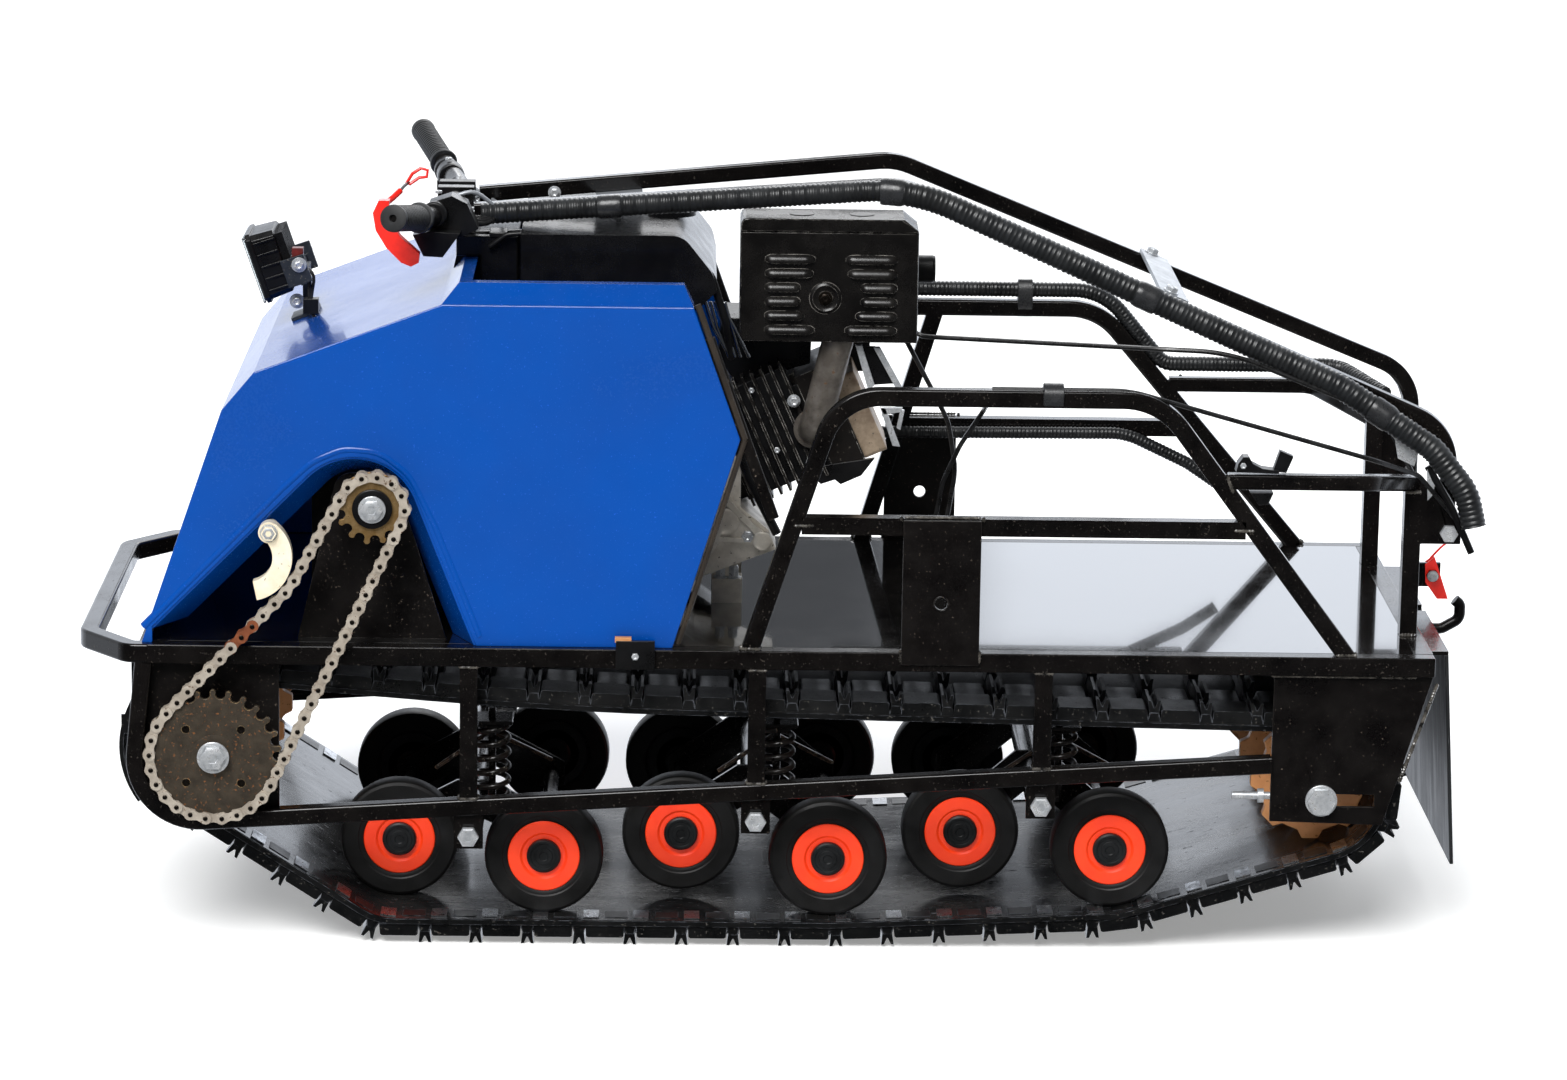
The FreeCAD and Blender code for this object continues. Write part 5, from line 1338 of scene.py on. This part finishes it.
# ------------------------------------------------------------------ engine
@dataclass
class Engine:
    """The single-cylinder engine with its tank, air cleaner and muffler."""

    crank: Point = (140.0, 0.0, 430.0)
    lean: float = 24.0
    guard_low: Point = (-134.0, 50.0, 620.0)
    guard_high: Point = (52.0, 120.0, 750.0)
    louver_rows: tuple[float, ...] = (707.4, 692.4, 677.5, 662.6, 647.7, 632.7)
    left_ends: tuple[float, ...] = (-26.0, -24.0, -11.0, -11.0, -15.5, -26.0)
    right_starts: tuple[float, ...] = (-58.0, -60.5, -74.0, -74.0, -69.0, -58.0)
    boss: tuple[float, float] = (-37.3, 667.0)

    def build_guard(self) -> None:
        """Presses the louvred heat guard with its chamfered corner and centre boss."""
        guard = Shape(GUARD_ENAMEL)
        (ax, ay, az), (bx, by, bz) = self.guard_low, self.guard_high
        lip = bz - 14
        low = [(bx, az), (bx, lip), (ax, lip), (ax, az)]
        high = [(bx, lip), (bx, bz - 6), (bx - 1.8, bz - 1.8), (bx - 6, bz), (ax + 15, bz), (ax, bz - 12),
                (ax, lip)]
        for outline, sink in ((low, 0.0), (high, 1.2)):
            middle = Vector(((ax + bx) / 2, 0, (outline[0][1] + outline[2][1]) / 2))
            shell = [[Vector((x, ay, z)) for x, z in outline]]
            for inset, y in ((0.0, by - 2.4), (0.8, by - 0.7), (2.4, by)):
                shell.append([Vector((x + math.copysign(inset + sink * 0.4, middle.x - x), y - sink,
                                      z + math.copysign(inset if outline is low else 0.4 * inset,
                                                        middle.z - z)))
                              for x, z in outline])
            guard.loft(shell)
        for row, left, right in zip(self.louver_rows, self.left_ends, self.right_starts):
            self.louver(guard, bx - 26, left, row, by)
            self.louver(guard, right, ax + 22, row, by)
        guard.lathe([(0, 17), (1.6, 16), (2.6, 13.5), (1.4, 11.5), (1.0, 9)],
                    (self.boss[0], by - 0.4, self.boss[1]), (0, 1, 0), 40)
        guard.use(CHAIN_PIN).bolt((self.boss[0], by + 0.6, self.boss[1]), (0, 1, 0), 9, 3, 7.5)
        guard.use(BLACK_MOULDING)
        for x in (-12.0, -75.0):
            guard.lathe([(0, 13), (0.7, 13), (0.7, 3)], (x, 85, bz), (0, 0, 1), 28)
        guard.build("muffler_guard_pressing", slot="exhaust_steel", replaces=("muffler_guard",), bevel=0.6)

    def louver(self, shape: Shape, front: float, rear: float, z: float, y: float) -> None:
        """Raises one louvre, open along its lower edge.

        Args:
            shape: The shape that gets it.
            front: X of its front end.
            rear: X of its rear end.
            z: Height of its middle.
            y: The plane of the sheet.
        """
        rings = []
        for share, size in ((0.0, 0.05), (0.04, 0.55), (0.10, 0.9), (0.2, 1.0), (0.8, 1.0), (0.90, 0.9),
                            (0.96, 0.55), (1.0, 0.05)):
            x = front + (rear - front) * share
            section = [(-0.4, 5.4), (2.2, 4.6), (4.9, 1.6), (5.9, -2.2), (5.2, -3.9), (3.6, -3.6),
                       (-0.4, -3.2)]
            rings.append([Vector((x, y + up * size, z + across * (0.4 + 0.6 * size))) for up,
                          across in section])
        shape.loft(rings)

    def build_details(self) -> None:
        """Adds head bolts, brackets, hoses and levers round the engine, and dark blocks inside the finned
        barrel as painted shade between the fins.
        """
        metal = Shape(ZINC_PLATE)
        metal.bolt((-7, 70, 548), (0, 1, 0), 10, 5, 7)
        for x, z in ((38, 559), (10, 495)):
            metal.bolt((x, 70, z), (0, 1, 0), 6, 3)
        metal.bolt((194, 80, 350), (0, 0, 1), 13, 8, 11)
        metal.use(ZINC_PLATE).prism([(-70, 614), (-77, 614), (-91, 572), (-84, 567)], 94, 104)
        metal.prism([(-89, 612), (-96, 612), (-120, 570), (-112, 571)], 94, 104)
        metal.prism([(-97, 548), (-103, 547), (-119, 506), (-111, 507)], 96, 101)
        metal.prism([(-97, 548), (-101, 540), (-119, 543), (-121, 548)], 96, 101)
        metal.prism([(-119, 546), (-123, 545), (-119, 524), (-115, 526)], 96, 101)
        metal.use(BLACK_MOULDING).prism([(-76, 612), (-91, 612), (-113, 573), (-88, 571)], 92, 97)
        metal.prism([(-33, 462), (-37, 458), (-52, 463), (-58, 458), (-80, 468), (-94, 487), (-38, 478)],
                    62, 68)
        metal.use(ZINC_PLATE)
        for x in (54, 68):
            metal.bolt((x, 52, 352), (0, 0, 1), 10, 12, 8)
        metal.bolt((40, 98, 408), (0, 1, 0), 12, 6, 8)
        metal.use(CAST_ALUMINIUM)
        metal.prism([(78, 452), (64, 456), (40, 424), (20, 412), (16, 402), (40, 398), (70, 404)], 92, 102)
        metal.prism([(84, 462), (79, 466), (22, 410), (26, 405)], 96, 106)
        metal.prism([(74, 408), (74, 403), (18, 400), (18, 405)], 96, 105)
        metal.lathe([(0, 15), (9, 15), (11, 12), (11, 5)], (64, 96, 424), (0, 1, 0), 28)
        metal.lathe([(0, 10), (11, 10), (12, 8), (12, 3)], (25, 96, 404), (0, 1, 0), 24)
        metal.lathe([(0, 15), (4, 15), (5, 13), (5, 4)], (61, 44, 326), (0, 0, 1), 28)
        metal.use(EXHAUST_STEEL).lathe([(0, 21), (5, 21), (5, 14)], (-28, 70.5, 519), (0, 1, 0), 32)
        metal.use(REFLECTOR)
        tangle = random.Random(7)
        for index in range(5):
            start = Vector((88 - 5 * index, 120 + 6 * tangle.random(), 662))
            end = Vector((58 - 6 * index + 20 * tangle.random(), 112, 602))
            sag = start.lerp(end, 0.5) + Vector((8 * tangle.random(), 6, 4))
            metal.sweep(rounded_path([tuple(start), tuple(sag), tuple(end)], [14], 5), 2.1, 8)
        metal.build("engine_fittings", slot="engine_aluminium", bevel=0.5)
        dark = Shape(BLACK_MOULDING)
        lean = math.radians(self.lean)
        axis = Vector((-math.cos(lean), 0, math.sin(lean)))
        across = Vector((math.sin(lean), 0, math.cos(lean)))
        # Painted shade: dark blocks fill the finned barrel so that the gaps between the fins read as shadow.
        for low, high, under, over in ((96, 187, -33, 85), (187, 227, -40, 62)):
            spots = [Vector(self.crank) + axis * t + across * h for t,
                     h in ((low, under), (high, under), (high, over), (low, over))]
            dark.prism([(spot.x, spot.z) for spot in spots], -48, 64)
        dark.prism([(73, 588), (70, 632), (-26, 632), (-24, 584), (10, 574), (52, 560)], -50, 47)
        dark.sweep(rounded_path([(54, 96, 509), (40, 98, 470), (9, 98, 410)], [40], 6), 5.0, 12)
        dark.sweep(rounded_path([(96, 110, 700), (82, 124, 690), (66, 124, 640), (60, 110, 600)], [12, 20],
                                5), 4.2, 10)
        dark.prism([(355, 674), (344, 724), (262, 728), (262, 674)], 66, 72)
        dark.lathe([(0, 12.5), (1.5, 14.6), (27, 14.6), (29, 12.5)], (-127, 10, 681), (-1, 0, 0), 28)
        dark.box((296, 58, 722), (314, 92, 727))
        dark.sweep(rounded_path([(314, 95, 712), (296, 97, 726), (272, 97, 728)], [12], 4), 3.0, 8)
        dark.build("engine_black_fittings_and_fin_shade", slot="black_plastic", bevel=0.8)
        cap = Shape(replace(BLACK_MOULDING, name="yellow_cap_mark", colour="#D9B23A", shade="#C79C22"))
        cap.lathe([(0, 8), (1.2, 8), (1.6, 7), (1.6, 0.2)], (124, -10, 740), (0, 0, 1), 24)
        cap.use(GLOSS_MOULDING).lathe([(0, 26), (5, 26), (7, 23), (7.2, 8)], (124, -10, 733), (0, 0, 1), 36)
        cap.build("tank_filler_cap", slot="black_plastic")

    def build(self) -> None:
        """Builds the sub-assembly."""
        self.build_guard()
        self.build_details()
        dress("crankcase", CAST_ALUMINIUM, 1.5)
        dress("cylinder", FIN_ALUMINIUM)
        dress("rocker_cover", replace(CAST_ALUMINIUM, name="pressed_rocker_cover", colour="#CDB89F",
                                      shade="#8A7562", edge=""), 3.0)
        dress("exhaust", EXHAUST_STEEL)
        dress("air_cleaner", BLACK_MOULDING, 4.0)
        dress("fuel_tank", GLOSS_MOULDING, 5.0)
        dress("electrics_box", GLOSS_MOULDING, 2.0)
        dress("fan_housing", BLACK_MOULDING, 2.0)


# ------------------------------------------------------------------ lamp
@dataclass
class Lamp:
    """The work lamp on the slope of the hood."""

    centre: Point = (545.0, 0.0, 681.5)
    tilt: float = 19.0
    deep: float = 42.0
    wide: float = 84.0
    tall: float = 76.0

    def build(self) -> None:
        """Builds the finned body, the lens and the wiring."""
        dress("headlight_bracket",
              replace(STRAP_ZINC, name="dark_passivated_bracket", colour="#3E434A", shade="#2C3036"), 0.6)
        lamp = Shape(BLACK_MOULDING)
        lamp.at(self.centre, self.tilt)
        d, w, t = self.deep / 2, self.wide / 2, self.tall / 2
        outline = ((-w, -t + 6), (-w + 6, -t), (w - 6, -t), (w, -t + 6), (w, t - 6), (w - 6, t),
                   (-w + 6, t), (-w, t - 6))
        body = [[Vector((x, y * s, z * s)) for y, z in outline]
                for x, s in ((-d + 8, 0.82), (-d + 10, 0.9), (d - 8, 0.94), (d - 8, 1.0), (d - 3, 1.0))]
        lamp.loft(body)
        for index in range(9):
            y = -w + 8 + index * (self.wide - 16) / 8
            lamp.box((-d, y - 1.2, -t + 8), (-d + 14, y + 1.2, t - 8))
        for index in range(5):
            z = -t + 12 + index * (self.tall - 24) / 4
            for side in (1, -1):
                lamp.box((-d + 10, side * (w - 4) - 2, z - 1.2), (d - 9, side * (w - 4) + 2, z + 1.2))
        lamp.use(REFLECTOR).box((d - 3.2, -w + 4, -t + 4), (d - 1.6, w - 4, t - 4))
        rim = [(w - 3, t - 3), (-w + 3, t - 3), (-w + 3, -t + 3), (w - 3, -t + 3), (w - 3, t - 3)]
        for (y0, z0), (y1, z1) in zip(rim, rim[1:]):
            lamp.box((d - 2, min(y0, y1) - 1, min(z0, z1) - 1), (d + 0.6, max(y0, y1) + 1, max(z0, z1) + 1))
        lamp.use(LENS).box((d - 1.5, -w + 1.5, -t + 1.5), (d, w - 1.5, t - 1.5))
        lamp.use(ZINC_PLATE)
        for side in (1, -1):
            lamp.bolt((-28, side * 47.2, -8), (0, side, 0), 9, 5, 8)
        lamp.at()
        lamp.bolt((520, 21, 640), (0, 1, 0), 9, 5, 8)
        lamp.use(CABLE_SHEATH)
        for shift in (0, 5):
            route = [(530, 20 + shift, 690), (505 - shift, 36, 672), (506, 40, 632), (485, 38 + shift, 612),
                     (470, 34, 590 + 22)]
            lamp.sweep(rounded_path(route, [12, 16, 12], 4), 1.9, 8)
        lamp.use(CONNECTOR).box((512, 30, 676), (524, 42, 700))
        lamp.use(BLACK_MOULDING).box((496, 30, 630), (512, 44, 646))
        lamp.build("work_lamp", slot="black_plastic", replaces=("headlight",), bevel=0.5)


# ------------------------------------------------------------------ tow handle
@dataclass
class TowHandle:
    """The folding handle with its bar, grips, controls and conduit."""

    grip_inner: tuple[Point, Point] = ((375.8, 161.0, 752.9), (372.7, -161.0, 762.3))
    grip_outer: tuple[Point, Point] = ((405.0, 258.0, 767.0), (400.0, -258.0, 784.0))
    grips: tuple[float, float] = (13.6, 12.6)
    grip_starts: tuple[float, float] = (0.22, 0.0)
    conduit: tuple[float, float] = (11.5, 13.5)
    tapes: tuple[float, ...] = (188.0, -106.0, -372.0, -615.0)

    def conduit_path(self, step: float) -> list[Vector]:
        """The hose's centre line along the left arm."""
        route = [(322, 83, 745.4), (-125, 120, 783.4), (-575, 170, 587.9), (-669, 193, 528.4),
                 (-704, 204, 485), (-712, 208, 450)]
        return rounded_path(route, [200, 150, 60, 60], step)

    def build_conduit(self) -> None:
        """Makes the corrugated hose with its tape wraps."""
        hose = Shape(CONDUIT)
        path = self.conduit_path(1.0)
        middles = [min(range(len(path)), key=lambda index: abs(path[index].x - x)) for x in self.tapes]
        joint = middles[1]
        corrugate(hose, path[: joint + 1], self.conduit[0], 5.2, 1.1, 16)
        corrugate(hose, path[joint:], self.conduit[1], 5.6, 1.3, 16)
        hose.use(TAPE)
        for middle in middles:
            spots = path[middle - 13 : middle + 14 : 3]
            reach = self.conduit[middle >= joint]
            creases = [reach + 0.9 + 0.2 * (k % 2) for k in range(len(spots) - 2)]
            radii = [reach + 0.3] + creases + [reach + 0.3]
            hose.sweep(spots, radii, 20)
        hose.build("handle_conduit_hose", Body.HANDLE, "black_plastic", ("handle_conduit",))

    def build_grips(self) -> None:
        """Turns the ribbed rubber grips with their end flanges."""
        grips = Shape(GRIP_RUBBER)
        for inner, outer, grip, share in zip(self.grip_inner, self.grip_outer, self.grips, self.grip_starts):
            end = Vector(outer)
            start = Vector(inner).lerp(end, share)
            length = (end - start).length + 3
            profile = [(0, 11.2), (0, grip + 2), (2.5, grip + 2.5), (5, grip + 2), (5.5, grip)]
            spot = 7.0
            while spot < length - 12:
                profile += [(spot, grip), (spot + 2.2, grip), (spot + 2.6, grip - 1.3),
                            (spot + 4.4, grip - 1.3)]
                spot += 4.8
            profile += [(length - 8, grip), (length - 5, grip + 0.6), (length - 1, grip + 0.4),
                        (length, grip - 1.5),
                        (length, 4.0), (length - 6, 3.4), (length - 6, 0.2)]
            grips.lathe(profile, tuple(start), tuple(end - start), 36)
        grips.build("handlebar_grips", Body.HANDLE, "rubber_black", ("grips",), sharp=30)

    def build_controls(self) -> None:
        """Adds clamp, switch housings, levers and cables on the handlebar."""
        parts = Shape(BLACK_MOULDING)
        parts.box((329, -68, 727), (347, 68, 742))
        for y in (-20, 20):
            parts.box((333, y - 9, 730), (371, y + 9, 765))
        for side, z in ((1, 753), (-1, 757)):
            parts.lathe([(0, 13), (3, 14.6), (24, 14.6), (27, 13)], (362, side * 102, z - 1),
                        (0.12, side, 0.02), 24)
            parts.lathe([(0, 12), (2, 13.6), (12, 13.6), (14, 12)], (368, side * 134, z),
                        (0.12, side, 0.05), 24)
            parts.box((346, side * 118 - 11, z - 19), (378, side * 118 + 11, z - 6))
        parts.prism([(375, 764), (352, 772), (336, 764), (324, 738), (343, 728), (372, 738)], 104, 136)
        parts.prism([(391, 734), (374, 738), (342, 736), (360, 711), (380, 712)], 132, 158)
        parts.use(ZINC_PLATE)
        for y in (-52, -20, 20, 52):
            parts.bolt((336, y, 742), (0, 0, 1), 8, 4, 6)
        for side in (1, -1):
            parts.bolt((366, side * 118, 772), (0, 0, 1), 7, 3)
        parts.use(CABLE_SHEATH)
        for shift in (0, 9, 18):
            route = [(352, 112 - shift, 746), (318, 104 - shift / 2, 736 + shift / 3), (322 - 22, 80, 748)]
            parts.sweep(rounded_path(route, [22], 5), 2.6, 10)
        parts.use(STRAP_ZINC)
        parts.sweep(rounded_path([(356, 98, 764), (330, 94, 772), (306, 84, 752)], [18], 5), 2.2, 10)
        parts.sweep(rounded_path([(350, -100, 752), (322, -70, 740), (308, -30, 738), (300, 60, 742)],
                                 [20, 25], 6), 2.4, 10)
        parts.build("handlebar_controls", Body.HANDLE, "black_plastic", ("bar_controls",), bevel=1.2)

    def build_red_parts(self) -> None:
        """Adds the red throttle lever and the stop-switch lanyard."""
        red = Shape(SIGNAL_RED)
        shoe = [(424, 775), (430, 762), (427, 744), (416, 726), (401, 711), (391, 707), (383, 711),
                (382, 720),
                (391, 728), (402, 738), (411, 752), (414, 764), (413, 775)]
        red.prism(shoe, 178, 194)
        ring_line = [(399, 783), (393, 793), (384, 799), (377, 797), (378, 790), (386, 789), (396, 782)]
        red.sweep([Vector((x, 125, z)) for x, z in ring_line], 1.7, 8, looped=True)
        red.sweep([Vector((404, 150, 779)), Vector((411, 158, 773)), Vector((419, 172, 768))], 3.2, 10)
        red.use(CABLE_SHEATH)
        red.sweep([Vector((397, 126, 784)), Vector((401, 140, 782)), Vector((405, 151, 778))], 1.6, 8)
        red.build("red_lever_and_lanyard", Body.HANDLE, "latch_red", bevel=0.0)

    def build_fixings(self) -> None:
        """Adds bolts and plates along the arms."""
        bolts = Shape(ZINC_PLATE)
        for side in (1, -1):
            bolts.bolt((-397, side * 124, 678.5), (-0.38, 0, 0.92), 12, 5, 8)
            bolts.bolt((181, side * 60, 745), (0.08, 0, -1), 10, 5, 7)
        bolts.bolt((250, -54, 748), (0, 1, 0), 9, 4, 7)
        bolts.build("handle_fixings", Body.HANDLE, "zinc_steel", bevel=0.4)

    def build(self) -> None:
        """Builds the sub-assembly."""
        for node in ("draw_bar_left", "draw_bar_right"):
            dress(node, FRAME_ENAMEL)
        dress("handlebar", replace(FRAME_ENAMEL, name="black_enamel_on_handlebar", rough=(0.2, 0.38)))
        dress("handle_straps", STRAP_ZINC, 0.6)
        self.build_conduit()
        self.build_grips()
        self.build_controls()
        self.build_red_parts()
        self.build_fixings()


# ------------------------------------------------------------------ hitch and cables
@dataclass
class Hitch:
    """The rear post, hook, spring latch and mud flap."""

    latch_pin: tuple[float, float] = (-699.0, 353.0)
    flap_bolts: tuple[float, ...] = (-160.0, -60.0, 60.0, 160.0)

    def build(self) -> None:
        """Builds the sub-assembly."""
        dress("hitch_post", FRAME_ENAMEL, 1.0)
        dress("hinge_bolts", ZINC_PLATE, 0.5)
        dress("tow_hook", PLATE_ENAMEL)
        dress("hook_latch", SIGNAL_RED, 0.5)
        dress("mud_flap", FLAP_RUBBER, 0.8)
        trim = Shape(ZINC_PLATE)
        for y in self.flap_bolts:
            trim.bolt((-688, y, 306), (0, 0, 1), 9, 4, 7)
        x, z = self.latch_pin
        trim.bolt((x, 10, z), (0, 1, 0), 9, 4, 6)
        trim.bolt((x, -8.5, z), (0, -1, 0), 10, 4)
        trim.use(WELD_ENAMEL)
        trim.weld((-668.6, -12, 392), (-668.6, 12, 392), 2.2, 21)
        trim.weld((-686, -12, 289), (-686, 12, 289), 2.4, 22)
        trim.use(CHAIN_PLATE).weld((-675, 14, 286), (-708, 14, 279), 3.2, 5)
        trim.build("hitch_fixings", slot="zinc_steel")
        cord = Shape(SIGNAL_RED)
        route = [(-696, 7, 372), (-706, 9, 384), (-716, 9, 393), (-722, 9, 404)]
        cord.sweep(rounded_path(route, [9, 8], 3), 1.2, 8)
        cord.build("latch_pull_cord", slot="latch_red")


@dataclass
class Cabling:
    """Thin cables clipped to the hoops and the engine."""

    radius: float = 2.6

    def build(self) -> None:
        """Builds the sub-assembly."""
        lines = Shape(CABLE_SHEATH)
        routes = (
            ([(-112, 60, 640), (-139, 60, 617), (-390, 170, 626), (-456, 172, 624), (-617, 178, 560),
              (-650, 178, 500)],
             [20, 60, 200, 40]),
            ([(-112, 90, 640), (-122, 100, 622), (-149, 100, 572), (-169, 105, 535), (-178, 105, 482),
              (-170, 105, 433), (-150, 100, 345)],
             [20, 60, 60, 80, 60]),
            ([(-203, 255, 586), (-205, 150, 558), (-181, 120, 512), (-164, 110, 470), (-158, 105, 433),
              (-140, 100, 345)],
             [30, 40, 60, 60]),
        )
        for route, bends in routes:
            lines.sweep(rounded_path(route, bends, 6), self.radius, 8)
        near = Shape(CABLE_SHEATH)
        near.sweep(rounded_path([(-205, 271, 601), (-345, 271, 601), (-600, 258, 529), (-652, 213, 505),
                                 (-697, 187, 452)],
                                [120, 30, 30], 6), 2.5, 8)
        for shift, rise in ((-4, 600), (4, 599)):
            hump = [(-198, 271 + shift, 594), (-238, 271 + shift, rise), (-312, 271 + shift, rise),
                    (-352, 271 + shift, 592)]
            near.sweep(rounded_path(hump, [60, 60], 6), 2.6, 8)
        near.build("near_hoop_cables", slot="black_plastic", replaces=("control_cables",))
        lines.use(TAPE)
        lines.lathe([(0, 12.0), (0.6, 13.0), (20, 13.0), (21, 12.0)], (-278, 271, 595), (1, 0, 0), 24)
        lines.use(ZINC_PLATE)
        lines.prism([(-614, 553), (-630, 536), (-634, 516), (-651, 508), (-655, 522), (-640, 532),
                     (-620, 557)], 180, 182)
        lines.prism([(-663, 508), (-668, 513), (-674, 505), (-670, 480), (-665, 474), (-664, 490)], 191, 193)
        lines.build("thin_cables_and_ties", slot="black_plastic")
        strap = Shape(BLACK_MOULDING)
        route = rounded_path([(-664, 190, 510), (-690, 196, 468), (-712, 198, 420)], [120], 6)
        strap.sweep(route, 4.0, 6)
        strap.build("conduit_tie_strap", slot="black_plastic")


# ------------------------------------------------------------------ studio
@dataclass
class Studio:
    """Camera, floor and soft lights."""

    place: Point = (0.1088, 5.8142, 1.6448)
    yaw: float = 1.069
    pitch: float = 12.249
    roll: float = 0.893
    lens: float = 127.2
    floor_half: float = 30.0
    band_shift: float = 0.012
    band_reach: tuple[float, float] = (0.02, 0.05)
    band_power: float = 0.08

    def build_camera(self) -> None:
        """Sets the camera on the vehicle's left, a little above it."""
        data = bpy.data.cameras.new("studio_camera")
        camera = bpy.data.objects.new("studio_camera", data)
        bpy.context.scene.collection.objects.link(camera)
        yaw, pitch, roll = (math.radians(v) for v in (self.yaw, self.pitch, self.roll))
        ahead = Vector((-math.sin(yaw) * math.cos(pitch), -math.cos(yaw) * math.cos(pitch), -math.sin(pitch)))
        level = Vector((-math.cos(yaw), math.sin(yaw), 0))
        rise = level.cross(ahead)
        right = level * math.cos(roll) + rise * math.sin(roll)
        up = rise * math.cos(roll) - level * math.sin(roll)
        turn = Matrix((right, up, -ahead)).transposed().to_4x4()
        camera.matrix_world = Matrix.Translation(Vector(self.place)) @ turn
        data.sensor_width = 36.0
        data.lens = self.lens
        data.clip_end = 200.0
        bpy.context.scene.camera = camera

    def build_floor(self) -> None:
        """Lays the pale floor, which glossy surfaces don't mirror."""
        mesh = bmesh.new()
        half = self.floor_half
        corners = [mesh.verts.new((x * half, y * half, 0)) for x, y in ((-1, -1), (1, -1), (1, 1), (-1, 1))]
        mesh.faces.new(corners)
        data = bpy.data.meshes.new("studio_floor")
        mesh.to_mesh(data)
        mesh.free()
        floor = bpy.data.objects.new("studio_floor", data)
        data.materials.append(STUDIO_FLOOR.material())
        bpy.context.scene.collection.objects.link(floor)
        floor.visible_glossy = False

    def build_world(self) -> None:
        """Surrounds the object with a white backdrop, dimmer overhead and in front of the left side.

        A narrow dim band stands upright in it. The deck mirrors that band beside the engine.
        """
        world = bpy.data.worlds.new("studio_world")
        world.use_nodes = True
        tree = world.node_tree
        tree.nodes.clear()
        way = add_node(tree, "ShaderNodeTexCoord").outputs["Generated"]
        parts = add_node(tree, "ShaderNodeSeparateXYZ", {0: way})
        depth = {"Value": parts.outputs["Y"], "From Min": -0.95, "From Max": 0.5, "To Min": 1.5,
                 "To Max": 0.05}
        fall = add_node(tree, "ShaderNodeMapRange", depth, clamp=True,
                        interpolation_type="SMOOTHSTEP").outputs[0]
        rise = {"Value": parts.outputs["Z"], "From Min": 0.3, "From Max": 0.8, "To Min": 1.0, "To Max": 0.3}
        roof = add_node(tree, "ShaderNodeMapRange", rise, clamp=True).outputs[0]
        shift = {0: parts.outputs["X"], 1: self.band_shift}
        seam = add_node(tree, "ShaderNodeMath", shift, operation="ADD").outputs[0]
        seam = add_node(tree, "ShaderNodeMath", {0: seam}, operation="ABSOLUTE").outputs[0]
        inner, outer = self.band_reach
        gap = {"Value": seam, "From Min": inner, "From Max": outer, "To Min": self.band_power, "To Max": 1.0}
        gap = add_node(tree, "ShaderNodeMapRange", gap, clamp=True,
                       interpolation_type="SMOOTHSTEP").outputs[0]
        wall = add_node(tree, "ShaderNodeMath", {0: fall, 1: gap}, operation="MULTIPLY").outputs[0]
        power = add_node(tree, "ShaderNodeMath", {0: wall, 1: roof}, operation="MULTIPLY").outputs[0]
        sky = add_node(tree, "ShaderNodeBackground",
                       {"Color": linear("#EFF5FF"), "Strength": power}).outputs[0]
        add_node(tree, "ShaderNodeOutputWorld", {"Surface": sky})
        bpy.context.scene.world = world

    def build_lights(self) -> None:
        """Sets a large soft key light and one soft box behind the object."""
        lights = (
            ("soft_key", "SUN", (0.25, 0.8, 0.85), (0.0, 0.0, 0.0),
             {"energy": 3.4, "angle": math.radians(32)}),
            ("back_softbox", "AREA", (-0.4, -3.0, 2.6), (0.0, 0.0, 0.3), {"energy": 60.0, "size": 2.4}),
            ("front_fill", "AREA", (0.5, 4.0, 0.8), (0.3, 0.0, 0.35), {"energy": 12.0, "size": 2.0}),
        )
        for name, kind, place, aim, settings in lights:
            data = bpy.data.lights.new(name, kind)
            for key, value in settings.items():
                setattr(data, key, value)
            light = bpy.data.objects.new(name, data)
            light.location = Vector(place)
            light.visible_glossy = name != "front_fill"
            light.rotation_euler = (Vector(aim) - Vector(place)).to_track_quat("-Z", "Y").to_euler()
            bpy.context.scene.collection.objects.link(light)

    def build(self) -> None:
        """Sets up the whole studio."""
        self.build_camera()
        self.build_floor()
        self.build_world()
        self.build_lights()
        bpy.context.scene.view_settings.view_transform = "Standard"


def main() -> None:
    """Builds every sub-assembly in order."""
    logging.basicConfig(level=logging.INFO, format="%(name)s: %(message)s")
    assemblies = (FrameWork(), Hoops(), RubberTrack(), RunningGear(), ChainDrive(), Hood(), Engine(), Lamp(),
                  TowHandle(), Hitch(), Cabling(), Studio())
    for assembly in assemblies:
        LOG.info("building %s", type(assembly).__name__)
        assembly.build()


if __name__ == "__main__":
    main()
